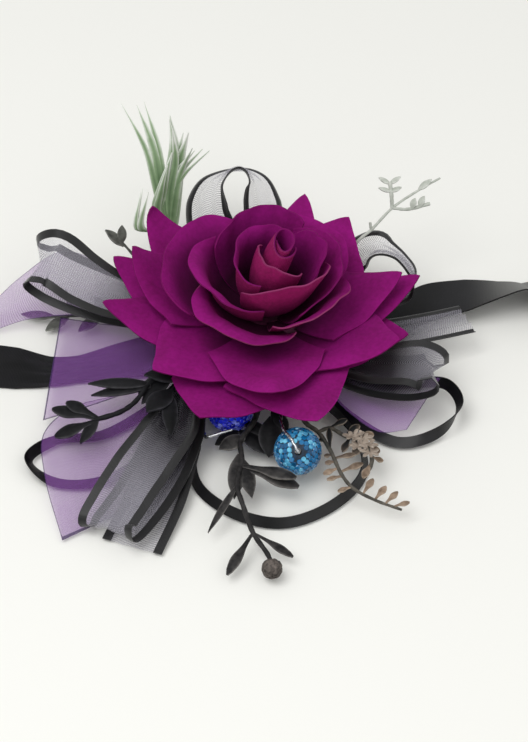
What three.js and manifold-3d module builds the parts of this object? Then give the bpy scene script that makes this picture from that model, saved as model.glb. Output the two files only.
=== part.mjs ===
// A wrist corsage: a velvet rose over a bow of three ribbons, with two pave beads on wire, leaf sprigs,
// a tuft of grass and a dry twig, all on a felt wrist pad with a satin tie at each side.
// Millimetres, +Z up. The origin is the centre of the pad's underside, and -Y is the side shown to a viewer.
import * as THREE from "three";
import { mergeVertices } from "three/addons/utils/BufferGeometryUtils.js";
import Module from "manifold-3d";

const wasm = await Module();
wasm.setup();

// Driving sizes
const gap = 0.3; // between pieces that lie against each other
const pad = { length: 50, breadth: 36, thick: 1.6 };
const tie = { width: 16, thick: 0.4, leftRun: 67, rightRun: 75 };
const tieRoll = { radius: 11, pitch: 1.5, turns: 3.25 };
const disc = { length: 40, breadth: 30, thick: 1.6 };
const glue = { radius: 12, topRadius: 7.5, height: 1.8 };
const stem = { radius: 1.6, grip: 5 };
const knot = { radius: 5.6, narrowHeight: 1.2, organzaHeight: 1.6, sheerHeight: 1.6 };
const arrangement = 100; // what the places of ribbons and sprigs are shares of, out from under the rose
const organza = { thick: 0.3, foldHeight: 1.2 };
const sheer = { width: 16, pinch: 6, thick: 0.3 };
const narrow = { width: 3, thick: 0.3 };
const rose = { nest: 50, petalThick: 0.4, lean: 6 };
const calyx = { radius: 10, height: 1.4 };
const bead = { radius: 6, bore: 0.9 };
const wire = { radius: 0.4 };
const leafThick = 0.6;

// The stack on the pad, from the wrist up
const tieLevel = pad.thick + gap;
const discLevel = tieLevel + tie.thick + gap;
const glueLevel = discLevel + disc.thick + gap;
const narrowLevel = glueLevel + glue.height + gap;
const organzaLevel = narrowLevel + knot.narrowHeight + gap;
const sheerLevel = organzaLevel + knot.organzaHeight + gap;
const calyxLevel = sheerLevel + knot.sheerHeight + gap;
const roseLevel = calyxLevel + calyx.height + gap;

const colours = {
  felt: [0x16161a, 0.95, 0],
  satin: [0x26262c, 0.42, 0],
  plastic: [0x111114, 0.5, 0],
  glue: [0xd8d2c4, 0.35, 0],
  organza: [0x5d3f80, 0.6, 0],
  sheer: [0x2a2a30, 0.6, 0],
  velvet: [0x821566, 0.85, 0],
  leafBlack: [0x1b1c1e, 0.55, 0],
  fern: [0x84705f, 0.7, 0],
  grass: [0x5f8a55, 0.6, 0],
  twig: [0xb6bab0, 0.8, 0],
  silver: [0xc9ccd0, 0.25, 1],
  turquoise: [0x1585b0, 0.15, 0.2],
  cobalt: [0x2a2ad6, 0.15, 0.2],
  calyxGreen: [0x2c3b25, 0.7, 0],
};

const corsage = new THREE.Group();

function addMesh(name, geometry, finish, parent = corsage) {
  const [color, roughness, metalness] = colours[finish];
  const mesh = new THREE.Mesh(geometry, new THREE.MeshStandardMaterial({ color, roughness, metalness }));
  mesh.name = name;
  parent.add(mesh);
  return mesh;
}

// Solids from meshes and back, for cuts and joins
function toSolid(geometry) {
  const bare = geometry.clone();
  bare.deleteAttribute("normal");
  bare.deleteAttribute("uv");
  const merged = mergeVertices(bare, 1e-4);
  const vertProperties = new Float32Array(merged.attributes.position.array);
  const triVerts = new Uint32Array(merged.index.array);
  return new wasm.Manifold(new wasm.Mesh({ numProp: 3, vertProperties, triVerts }));
}

function toGeometry(solid) {
  const mesh = solid.getMesh();
  const position = new Float32Array(mesh.numVert * 3);
  for (let i = 0; i < mesh.numVert; i++)
    position.set(mesh.vertProperties.subarray(i * mesh.numProp, i * mesh.numProp + 3), i * 3);
  return new THREE.BufferGeometry()
    .setAttribute("position", new THREE.BufferAttribute(position, 3))
    .setIndex(new THREE.BufferAttribute(new Uint32Array(mesh.triVerts), 1));
}

function joined(geometries) {
  return toGeometry(geometries.map(toSolid).reduce((whole, piece) => whole.add(piece)));
}

const pointOf = ([x, y, z], size = 1) => new THREE.Vector3(x * size, y * size, z * size);
const mix = THREE.MathUtils.lerp;

// A closed sheet of even thickness around a grid of points, rows[i][j]
function sheetSolid(rows, thick) {
  const count = rows.length;
  const wide = rows[0].length;
  const position = [];
  const index = [];
  for (const side of [0.5, -0.5])
    for (let i = 0; i < count; i++)
      for (let j = 0; j < wide; j++) {
        const along = rows[Math.min(i + 1, count - 1)][j].clone().sub(rows[Math.max(i - 1, 0)][j]);
        const across = rows[i][Math.min(j + 1, wide - 1)].clone().sub(rows[i][Math.max(j - 1, 0)]);
        const normal = along.cross(across).normalize();
        position.push(...rows[i][j].clone().addScaledVector(normal, side * thick));
      }
  const front = (i, j) => i * wide + j;
  const back = (i, j) => count * wide + i * wide + j;
  const quad = (a, b, c, d) => index.push(a, b, c, a, c, d);
  for (let i = 0; i + 1 < count; i++)
    for (let j = 0; j + 1 < wide; j++) {
      quad(front(i, j), front(i + 1, j), front(i + 1, j + 1), front(i, j + 1));
      quad(back(i, j), back(i, j + 1), back(i + 1, j + 1), back(i + 1, j));
    }
  for (let i = 0; i + 1 < count; i++) {
    quad(front(i, 0), back(i, 0), back(i + 1, 0), front(i + 1, 0));
    quad(front(i, wide - 1), front(i + 1, wide - 1), back(i + 1, wide - 1), back(i, wide - 1));
  }
  for (let j = 0; j + 1 < wide; j++) {
    quad(front(0, j), front(0, j + 1), back(0, j + 1), back(0, j));
    quad(front(count - 1, j), back(count - 1, j), back(count - 1, j + 1), front(count - 1, j + 1));
  }
  const geometry = new THREE.BufferGeometry();
  geometry.setAttribute("position", new THREE.BufferAttribute(new Float32Array(position), 3));
  geometry.setIndex(index);
  return geometry;
}

// What shares are of at a place: what lies under the rose goes with the rose's size, and only what reaches out
// from under it with the arrangement, so that pieces stay clear of the rose.
const coverShare = 0.4;
function sizeAt([x, y]) {
  const reach = Math.max(Math.hypot(x, y), coverShare);
  return (coverShare * 2 * rose.nest + (reach - coverShare) * arrangement) / reach;
}

// A place over a level of the stack
const placeOf = (share, level = 0) => pointOf(share, sizeAt(share)).add(new THREE.Vector3(0, 0, level));
// A smooth line through such places, after any points given in millimetres
function lineThrough(shares, level, ...points) {
  points.push(...shares.map((share) => placeOf(share, level)));
  return new THREE.CatmullRomCurve3(points, false, "centripetal");
}

// A stem of round section that tapers from one radius to another
function rod(line, startRadius, endRadius, steps, sides) {
  const frames = line.computeFrenetFrames(steps, false);
  const position = [];
  const index = [];
  for (let i = 0; i <= steps; i++) {
    const centre = line.getPointAt(i / steps);
    const radius = mix(startRadius, endRadius, i / steps);
    for (let k = 0; k < sides; k++) {
      const turn = (2 * Math.PI * k) / sides;
      position.push(
        ...centre
          .clone()
          .addScaledVector(frames.normals[i], radius * Math.cos(turn))
          .addScaledVector(frames.binormals[i], radius * Math.sin(turn)),
      );
    }
  }
  for (let i = 0; i < steps; i++)
    for (let k = 0; k < sides; k++) {
      const next = (k + 1) % sides;
      const [a, b, c, d] = [i * sides + k, i * sides + next, (i + 1) * sides + next, (i + 1) * sides + k];
      index.push(a, b, c, a, c, d);
    }
  for (let k = 1; k + 1 < sides; k++) {
    index.push(0, k + 1, k);
    index.push(steps * sides, steps * sides + k, steps * sides + k + 1);
  }
  const geometry = new THREE.BufferGeometry();
  geometry.setAttribute("position", new THREE.BufferAttribute(new Float32Array(position), 3));
  geometry.setIndex(index);
  return geometry;
}

// A leaf blade from its root to its tip, with half widths along it as shares of its breadth
const bladeOutlineShares = [0.12, 0.48, 0.44, 0.06];
const spoonOutlineShares = [0.12, 0.2, 0.5, 0.24];
const leafCrownShare = 0.14;
function leafBlade([rootShare, tipShare, breadthShare], outlineShares) {
  const root = placeOf(rootShare, calyxLevel);
  const run = placeOf(tipShare, calyxLevel).sub(root);
  const breadth = breadthShare * sizeAt(rootShare);
  const side = new THREE.Vector3(-run.y, run.x, 0).normalize();
  const edges = breadth > narrow.width ? [-1, 0, 1] : [-1, 1];
  const rows = outlineShares.map((halfShare, i) => {
    const along = i / (outlineShares.length - 1);
    const crown = leafCrownShare * breadth * Math.sin(Math.PI * along);
    return edges.map((edge) => {
      const at = root.clone().addScaledVector(run, along).addScaledVector(side, edge * halfShare * breadth);
      at.z += (1 - Math.abs(edge)) * crown;
      return at;
    });
  });
  return sheetSolid(rows, leafThick);
}

// Felt pad, tie seat and mounting disc
function ovalPlate(length, breadth, thick, level, facets = 12) {
  const outline = new THREE.Shape();
  outline.absellipse(0, 0, length / 2, breadth / 2, 0, 2 * Math.PI, false, 0);
  const settings = { depth: thick, bevelEnabled: false, curveSegments: facets };
  const plate = new THREE.ExtrudeGeometry(outline, settings);
  return plate.translate(0, 0, level);
}

addMesh("wrist_pad", ovalPlate(pad.length, pad.breadth, pad.thick, 0), "felt");
addMesh("mounting_disc", ovalPlate(disc.length, disc.breadth, disc.thick, discLevel), "plastic");

// The two satin ties run out from the ends of their seat, which is sandwiched between pad and disc
const tieHingeX = pad.length / 2 + 2 * gap;
const tieMiddle = tieLevel + tie.thick / 2;
const seat = new THREE.BoxGeometry(2 * (tieHingeX - gap), tie.width, tie.thick);
addMesh("tie_seat", seat.translate(0, 0, tieMiddle), "satin");

const restShare = 0.1; // of the gap, between a rolled tie and what the pad rests on
const tieRest = tie.thick / 2 + restShare * gap;
// Places are [x, y, z, lean of the width in degrees, width share]
const leftTieShares = [
  [-0.3, -0.005, 0.016, 0, 1],
  [-0.4, -0.025, 0.008, 0, 0.8],
  [-0.5, -0.055, 0.005, 0, 0.62],
  [-0.57, -0.062, 0.005, 0, 0.68],
  [-0.66, -0.045, 0.005, 0, 0.95],
  [-0.76, -0.03, 0.005, 0, 1],
];
const rightTieShares = [
  [0.3, 0.06, 0.02, 0, 1],
  [0.37, 0.13, 0.024, 0, 1],
  [0.44, 0.18, 0.03, -4, 1],
  [0.55, 0.2, 0.042, -12, 1],
  [0.64, 0.21, 0.054, -28, 1],
  [0.71, 0.215, 0.06, -38, 1],
  [0.8, 0.205, 0.03, -12, 1],
];

// A tie: from its hinge line, through its places, then flat and rolled up like ribbon on a reel
const tieSteps = 14;
const tieTurnSteps = 16;
function tieGrid(side, shares, run) {
  const places = [[0, 0, 0, 0, 1], ...shares];
  const line = lineThrough(shares, 0, new THREE.Vector3(side * tieHingeX, 0, tieMiddle));
  const rows = [];
  for (let i = 0; i <= tieSteps; i++) {
    const along = (i / tieSteps) * (places.length - 1);
    const k = Math.min(Math.floor(along), places.length - 2);
    const lean = THREE.MathUtils.degToRad(mix(places[k][3], places[k + 1][3], along - k));
    const half = (tie.width / 2) * mix(places[k][4], places[k + 1][4], along - k);
    const centre = line.getPoint(i / tieSteps);
    const across = new THREE.Vector3(0, Math.cos(lean), Math.sin(lean));
    rows.push([-1, 1].map((edge) => centre.clone().addScaledVector(across, edge * half)));
  }
  const endY = placeOf(shares.at(-1)).y;
  const rollX = side * (tieHingeX + run);
  const coilSteps = Math.round(tieRoll.turns * tieTurnSteps);
  for (let i = 0; i <= coilSteps; i++) {
    const turn = (i / coilSteps) * tieRoll.turns * 2 * Math.PI;
    const radius = tieRoll.radius - (tieRoll.pitch * turn) / (2 * Math.PI);
    const x = rollX + side * radius * Math.sin(turn);
    const z = tieRest + tieRoll.radius - radius * Math.cos(turn);
    rows.push([-1, 1].map((edge) => new THREE.Vector3(x, endY + (edge * tie.width) / 2, z)));
  }
  return rows;
}

// Least gap of a rolled tie to itself, between points that are more than half a turn apart
function leastGap(rows) {
  const places = rows.slice(tieSteps + 1).map(([edge]) => edge);
  let least = Infinity;
  for (let i = 0; i < places.length; i++)
    for (let j = i + tieTurnSteps / 2; j < places.length; j++)
      least = Math.min(least, places[i].distanceTo(places[j]));
  return least - tie.thick;
}

const leftTieRows = tieGrid(-1, leftTieShares, tie.leftRun);
const rightTieRows = tieGrid(1, rightTieShares, tie.rightRun);
for (const rows of [leftTieRows, rightTieRows])
  console.log("least gap in the tie roll, mm:", leastGap(rows).toFixed(2));
addMesh("tie_left", sheetSolid(leftTieRows, tie.thick), "satin");
addMesh("tie_right", sheetSolid(rightTieRows, tie.thick), "satin");

// Hot glue mound and the rose's stem, which the three bows are threaded on
const boreRadius = stem.radius + gap;
function ring(outer, inner, height, level, topOuter = outer, facets = 24) {
  const profile = [
    new THREE.Vector2(inner, 0),
    new THREE.Vector2(outer, 0),
    new THREE.Vector2(topOuter, height),
    new THREE.Vector2(inner, height),
    new THREE.Vector2(inner, 0),
  ];
  return new THREE.LatheGeometry(profile, facets).rotateX(Math.PI / 2).translate(0, 0, level);
}

const stemLength = roseLevel + stem.grip - glueLevel;
const stemRod = new THREE.CylinderGeometry(stem.radius, stem.radius, stemLength, 20).rotateX(Math.PI / 2);
addMesh("rose_stem", stemRod.translate(0, 0, glueLevel + stemLength / 2), "calyxGreen");
addMesh("glue_mound", ring(glue.radius, boreRadius, glue.height, glueLevel, glue.topRadius), "glue");

// Ribbon bows. A loop or tail runs out from inside its knot, so the bow is one ribbon tied in the middle.
// Places are [x, y, height over the middle of the knot, width direction x, y, z, share of the full width].
function ribbonRows(shares, level, width, pinch, steps) {
  const line = lineThrough(shares, level);
  const rows = [];
  for (let i = 0; i <= steps; i++) {
    const along = (i / steps) * (shares.length - 1);
    const k = Math.min(Math.floor(along), shares.length - 2);
    const blend = (j) => mix(shares[k][j], shares[k + 1][j], along - k);
    const half = mix(pinch, width, blend(6)) / 2;
    const centre = line.getPoint(i / steps);
    const tangent = line.getTangent(i / steps);
    const across = new THREE.Vector3(blend(3), blend(4), blend(5));
    across.addScaledVector(tangent, -across.dot(tangent)).normalize();
    rows.push([-1, 1].map((edge) => centre.clone().addScaledVector(across, edge * half)));
  }
  return rows;
}

// A cloth panel between two edge lines, with folds that run along it
function panelRows([firstShares, secondShares], level, steps, columns) {
  const first = lineThrough(firstShares, level);
  const second = lineThrough(secondShares, level);
  const rows = [];
  for (let i = 0; i <= steps; i++) {
    const row = [];
    for (let j = 0; j <= columns; j++) {
      const at = first.getPoint(i / steps).lerp(second.getPoint(i / steps), j / columns);
      const fold = Math.sin((2 * Math.PI * j) / columns) ** 2 * Math.sin((Math.PI * i) / steps);
      at.z += organza.foldHeight * fold;
      row.push(at);
    }
    rows.push(row);
  }
  return rows;
}

const sheerLoopShares = {
  front: [
    [-0.025, -0.03, 0.005, 0.85, -0.5, 0, 0],
    [-0.09, -0.12, 0.006, 0.85, -0.5, 0, 0.1],
    [-0.2, -0.235, 0.004, 0.9, -0.42, 0, 0.3],
    [-0.24, -0.35, -0.006, 0.92, -0.4, 0, 0.9],
    [-0.307, -0.475, -0.018, 0.92, -0.4, 0, 1],
    [-0.362, -0.585, -0.03, 0.92, -0.4, 0.05, 1],
    [-0.392, -0.655, -0.044, 0.88, -0.46, 0.15, 1],
    [-0.379, -0.655, -0.066, 0.88, -0.46, 0.1, 0.95],
    [-0.325, -0.58, -0.061, 0.9, -0.42, 0.05, 1],
    [-0.268, -0.465, -0.05, 0.9, -0.42, 0, 1],
    [-0.225, -0.34, -0.03, 0.92, -0.4, 0, 0.9],
    [-0.19, -0.23, -0.014, 0.9, -0.42, 0, 0.3],
    [-0.085, -0.115, -0.004, 0.85, -0.5, 0, 0.1],
    [-0.025, -0.03, -0.003, 0.85, -0.5, 0, 0],
  ],
  tail: [
    [-0.022, -0.03, -0.005, 0.85, -0.5, 0, 0],
    [-0.06, -0.08, -0.006, 0.85, -0.5, 0, 0],
    [-0.145, -0.17, -0.02, 0.88, -0.45, 0, 0.1],
    [-0.205, -0.245, -0.034, 0.9, -0.42, 0, 0.3],
    [-0.235, -0.37, -0.055, 0.92, -0.4, 0, 0.9],
    [-0.275, -0.53, -0.078, 0.92, -0.4, 0, 1],
    [-0.33, -0.68, -0.098, 0.92, -0.4, 0, 1],
  ],
  left: [
    [-0.03, 0.01, -0.004, 0, 1, 0, 0],
    [-0.11, 0.042, -0.006, 0, 1, 0.05, 0.4],
    [-0.2, 0.065, -0.006, 0.1, 1, 0.1, 0.8],
    [-0.33, 0.085, 0.006, 0.2, 1, 0.15, 1],
    [-0.46, 0.115, 0.03, 0.25, 0.9, 0.45, 1],
    [-0.565, 0.155, 0.055, 0.2, 0.8, 0.6, 1],
    [-0.6, 0.168, 0.082, 0.1, 0.8, 0.6, 1],
    [-0.565, 0.16, 0.108, 0.2, 0.8, 0.6, 1],
    [-0.48, 0.118, 0.07, 0.25, 0.9, 0.35, 1],
    [-0.39, 0.092, 0.034, 0.2, 1, 0.1, 1],
    [-0.26, 0.075, 0.018, 0.1, 1, 0.05, 0.9],
    [-0.13, 0.045, 0.007, 0, 1, 0, 0.5],
    [-0.03, 0.01, 0.004, 0, 1, 0, 0],
  ],
  back: [
    [-0.02, 0.03, -0.004, 1, 0.2, 0, 0],
    [-0.06, 0.12, -0.004, 1, 0.4, 0, 0.3],
    [-0.115, 0.28, -0.002, 0.9, 0.3, 0, 0.6],
    [-0.15, 0.4, 0.008, 0.85, -0.3, 0.3, 0.8],
    [-0.157, 0.45, 0.05, 0.8, -0.45, 0.45, 0.85],
    [-0.135, 0.488, 0.092, 0.55, -0.6, 0.6, 0.8],
    [-0.07, 0.512, 0.12, 0, -0.7, 0.7, 0.75],
    [-0.022, 0.495, 0.095, -0.45, -0.6, 0.6, 0.75],
    [-0.005, 0.452, 0.055, -0.75, -0.45, 0.45, 0.75],
    [0, 0.4, 0.018, -0.85, -0.3, 0.3, 0.6],
    [0.008, 0.27, 0.008, -1, -0.1, 0, 0.5],
    [0.012, 0.12, 0.006, -1, 0, 0, 0.2],
    [0.008, 0.03, 0.004, -1, 0, 0, 0],
  ],
  rightBack: [
    [0.025, 0.02, -0.004, -0.7, 0.7, 0, 0],
    [0.1, 0.1, -0.004, -0.7, 0.7, 0, 0.3],
    [0.18, 0.195, 0, -0.6, 0.8, 0, 0.5],
    [0.255, 0.265, 0.024, -0.4, 0.9, 0, 0.6],
    [0.315, 0.24, 0.07, -0.18, 0.9, -0.35, 0.6],
    [0.37, 0.205, 0.068, 0.05, 0.85, -0.5, 0.6],
    [0.4, 0.17, 0.035, 0.1, 0.85, -0.4, 0.55],
    [0.375, 0.145, 0.006, 0, 1, -0.1, 0.5],
    [0.28, 0.12, 0.004, -0.2, 1, 0, 0.5],
    [0.18, 0.09, 0.006, -0.4, 0.9, 0, 0.4],
    [0.09, 0.055, 0.006, -0.6, 0.8, 0, 0.3],
    [0.025, 0.016, 0.004, -0.7, 0.7, 0, 0],
  ],
  right: [
    [0.03, 0, -0.004, 0, 1, 0, 0],
    [0.08, 0, -0.004, 0, 1, 0, 0.1],
    [0.2, 0.002, -0.014, 0, 1, 0, 0.5],
    [0.32, 0.01, -0.028, -0.15, 1, -0.1, 0.6],
    [0.44, 0.045, -0.036, -0.25, 1, -0.15, 0.65],
    [0.545, 0.08, -0.04, -0.3, 1, -0.15, 0.65],
  ],
  rightFront: [
    [0.025, -0.015, -0.004, 0.5, 0.85, 0, 0],
    [0.09, -0.06, -0.004, 0.5, 0.85, 0, 0.3],
    [0.19, -0.125, 0, 0.5, 0.85, 0, 0.8],
    [0.3, -0.175, 0, 0.45, 0.9, 0, 1],
    [0.395, -0.19, 0.008, 0.35, 0.93, 0.1, 1],
    [0.44, -0.185, 0.024, 0.35, 0.93, 0.15, 1],
    [0.4, -0.17, 0.04, 0.35, 0.93, 0.1, 1],
    [0.3, -0.15, 0.022, 0.45, 0.9, 0, 1],
    [0.19, -0.105, 0.012, 0.5, 0.85, 0, 0.8],
    [0.09, -0.055, 0.006, 0.5, 0.85, 0, 0.3],
    [0.025, -0.015, 0.004, 0.5, 0.85, 0, 0],
  ],
};

const narrowLoopShares = {
  left: [
    [-0.045, -0.012, 0, 0, 1, 0, 1],
    [-0.13, -0.075, -0.006, -0.3, 1, 0.1, 1],
    [-0.27, -0.185, -0.05, -0.5, 0.85, 0.1, 1],
    [-0.42, -0.3, -0.057, -0.3, 1, 0, 1],
    [-0.54, -0.32, -0.056, 0.2, 1, 0, 1],
    [-0.605, -0.4, -0.043, -0.6, -0.1, 0.8, 1],
    [-0.54, -0.465, -0.056, -0.2, -1, 0, 1],
    [-0.42, -0.465, -0.056, 0.3, -1, 0, 1],
    [-0.29, -0.365, -0.056, 0.7, -0.8, 0, 1],
    [-0.14, -0.17, -0.03, 0.8, -0.5, 0, 1],
    [-0.075, -0.085, -0.004, 0.8, -0.6, 0, 1],
    [-0.033, -0.034, 0, 0.8, -0.6, 0, 1],
  ],
  front: [
    [-0.012, -0.045, 0.002, 1, 0, 0, 1],
    [-0.03, -0.085, -0.002, 1, -0.2, 0, 1],
    [-0.085, -0.16, -0.03, 0.9, -0.4, 0.1, 1],
    [-0.165, -0.245, -0.048, 0.8, -0.3, 0.2, 1],
    [-0.185, -0.37, -0.054, 0.6, -0.2, 0.6, 1],
    [-0.165, -0.49, -0.052, 0.5, 0.3, 0.8, 1],
    [-0.07, -0.58, -0.052, 0.2, 0.5, 0.8, 1],
    [0.05, -0.61, -0.052, 0, 0.5, 0.8, 1],
    [0.175, -0.55, -0.052, -0.2, 0.5, 0.8, 1],
    [0.255, -0.44, -0.05, -0.4, 0.3, 0.8, 1],
    [0.24, -0.32, -0.044, -0.7, -0.2, 0.6, 1],
    [0.13, -0.18, -0.018, -0.8, -0.6, 0.1, 1],
    [0.055, -0.095, -0.002, -0.85, -0.5, 0, 1],
    [0.02, -0.04, 0.002, -0.9, -0.4, 0, 1],
  ],
  right: [
    [0.045, -0.01, 0.002, 0, 1, 0, 1],
    [0.09, -0.035, 0, 0, 1, 0.1, 1],
    [0.15, -0.07, -0.012, 0, 1, 0.2, 1],
    [0.28, -0.14, -0.034, 0, 1, 0.3, 1],
    [0.4, -0.135, -0.03, 0, 1, 0.3, 1],
    [0.48, -0.16, -0.012, 0.5, 0.5, 0.7, 1],
    [0.51, -0.23, -0.017, 0.5, 0.2, 0.8, 1],
    [0.46, -0.3, -0.04, 0.3, 0.5, 0.8, 1],
    [0.35, -0.33, -0.054, 0.1, 0.8, 0.4, 1],
    [0.22, -0.24, -0.046, 0.5, 0.8, 0.1, 1],
    [0.14, -0.15, -0.022, 0.7, 0.7, 0, 1],
    [0.075, -0.08, -0.003, 0.7, 0.7, 0, 1],
    [0.035, -0.035, 0.002, 0.7, 0.7, 0, 1],
  ],
};

// Organza panels: two edge lines, from the knot out, each a list of places
const organzaPanelShares = {
  leftUpper: [
    [[-0.02, 0.03, 0.004], [-0.1, 0.08, 0.002], [-0.22, 0.13, 0.006], [-0.38, 0.2, 0.026],
    [-0.54, 0.25, 0.07], [-0.66, 0.2, 0.02], [-0.76, 0.14, -0.055]],
    [[-0.035, 0.012, 0.002], [-0.1, 0.03, 0], [-0.2, 0.05, -0.002], [-0.34, 0.075, -0.012],
    [-0.5, 0.1, -0.026], [-0.64, 0.105, -0.048], [-0.74, 0.085, -0.074]],
  ],
  left: [
    [[-0.035, 0.005, -0.001], [-0.1, 0.005, -0.006], [-0.2, 0.02, -0.016], [-0.32, 0.05, -0.03],
    [-0.45, 0.085, -0.042], [-0.55, 0.115, -0.05]],
    [[-0.035, -0.015, -0.001], [-0.1, -0.05, -0.008], [-0.2, -0.1, -0.019], [-0.32, -0.165, -0.034],
    [-0.45, -0.22, -0.046], [-0.575, -0.265, -0.055]],
  ],
  frontLeft: [
    [[-0.035, -0.018, -0.005], [-0.1, -0.06, -0.012], [-0.22, -0.13, -0.028], [-0.36, -0.18, -0.042],
    [-0.5, -0.22, -0.054], [-0.57, -0.31, -0.056], [-0.56, -0.46, -0.056], [-0.505, -0.66, -0.078]],
    [[-0.022, -0.03, -0.005], [-0.06, -0.085, -0.012], [-0.12, -0.16, -0.028], [-0.19, -0.25, -0.042],
    [-0.25, -0.33, -0.054], [-0.29, -0.4, -0.06], [-0.32, -0.47, -0.066], [-0.345, -0.56, -0.075]],
  ],
  right: [
    [[0.035, 0, 0.002], [0.1, -0.03, 0], [0.2, -0.08, -0.006], [0.32, -0.125, -0.008],
    [0.42, -0.155, 0], [0.46, -0.175, 0.01]],
    [[0.025, -0.025, -0.001], [0.08, -0.09, -0.003], [0.15, -0.17, -0.022], [0.23, -0.26, -0.043],
    [0.3, -0.31, -0.053], [0.37, -0.3, -0.055]],
  ],
  back: [
    [[0.01, 0.035, 0.002], [0.012, 0.1, -0.002], [0, 0.2, -0.006], [-0.01, 0.3, -0.004],
    [-0.03, 0.38, 0.004], [-0.035, 0.45, 0.012]],
    [[-0.015, 0.035, 0], [-0.045, 0.1, -0.004], [-0.1, 0.2, -0.01], [-0.14, 0.28, -0.012],
    [-0.17, 0.35, -0.008], [-0.19, 0.41, 0]],
  ],
};

// A bow is its knot, a ring that the stem passes through, joined with its loops, tails and panels
function addBow(name, level, height, pieces, finish) {
  const centre = ring(knot.radius, boreRadius, height, level);
  const bore = new THREE.CylinderGeometry(boreRadius, boreRadius, 2 * knot.radius).rotateX(Math.PI / 2);
  const whole = [centre, ...pieces].map(toSolid).reduce((all, piece) => all.add(piece));
  const bored = whole.subtract(toSolid(bore.translate(0, 0, level)));
  // Crossing strands shut in small voids, which go: only the outer skin is kept
  const [skin] = bored.decompose().sort((a, b) => b.volume() - a.volume());
  addMesh(name, toGeometry(skin), finish);
}

const narrowMiddle = narrowLevel + knot.narrowHeight / 2;
const organzaMiddle = organzaLevel + knot.organzaHeight / 2;
const sheerMiddle = sheerLevel + knot.sheerHeight / 2;
const narrowPieces = Object.values(narrowLoopShares).map((shares) =>
  sheetSolid(ribbonRows(shares, narrowMiddle, narrow.width, narrow.width, 24), narrow.thick),
);
const organzaPieces = Object.values(organzaPanelShares).map((edges) =>
  sheetSolid(panelRows(edges, organzaMiddle, 6, 6), organza.thick),
);
const sheerPieces = Object.values(sheerLoopShares).map((shares) =>
  sheetSolid(ribbonRows(shares, sheerMiddle, sheer.width, sheer.pinch, shares.length + 6), sheer.thick),
);
addBow("narrow_ribbon_bow", narrowLevel, knot.narrowHeight, narrowPieces, "satin");
addBow("organza_bow", organzaLevel, knot.organzaHeight, organzaPieces, "organza");
addBow("sheer_ribbon_bow", sheerLevel, knot.sheerHeight, sheerPieces, "sheer");

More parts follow.
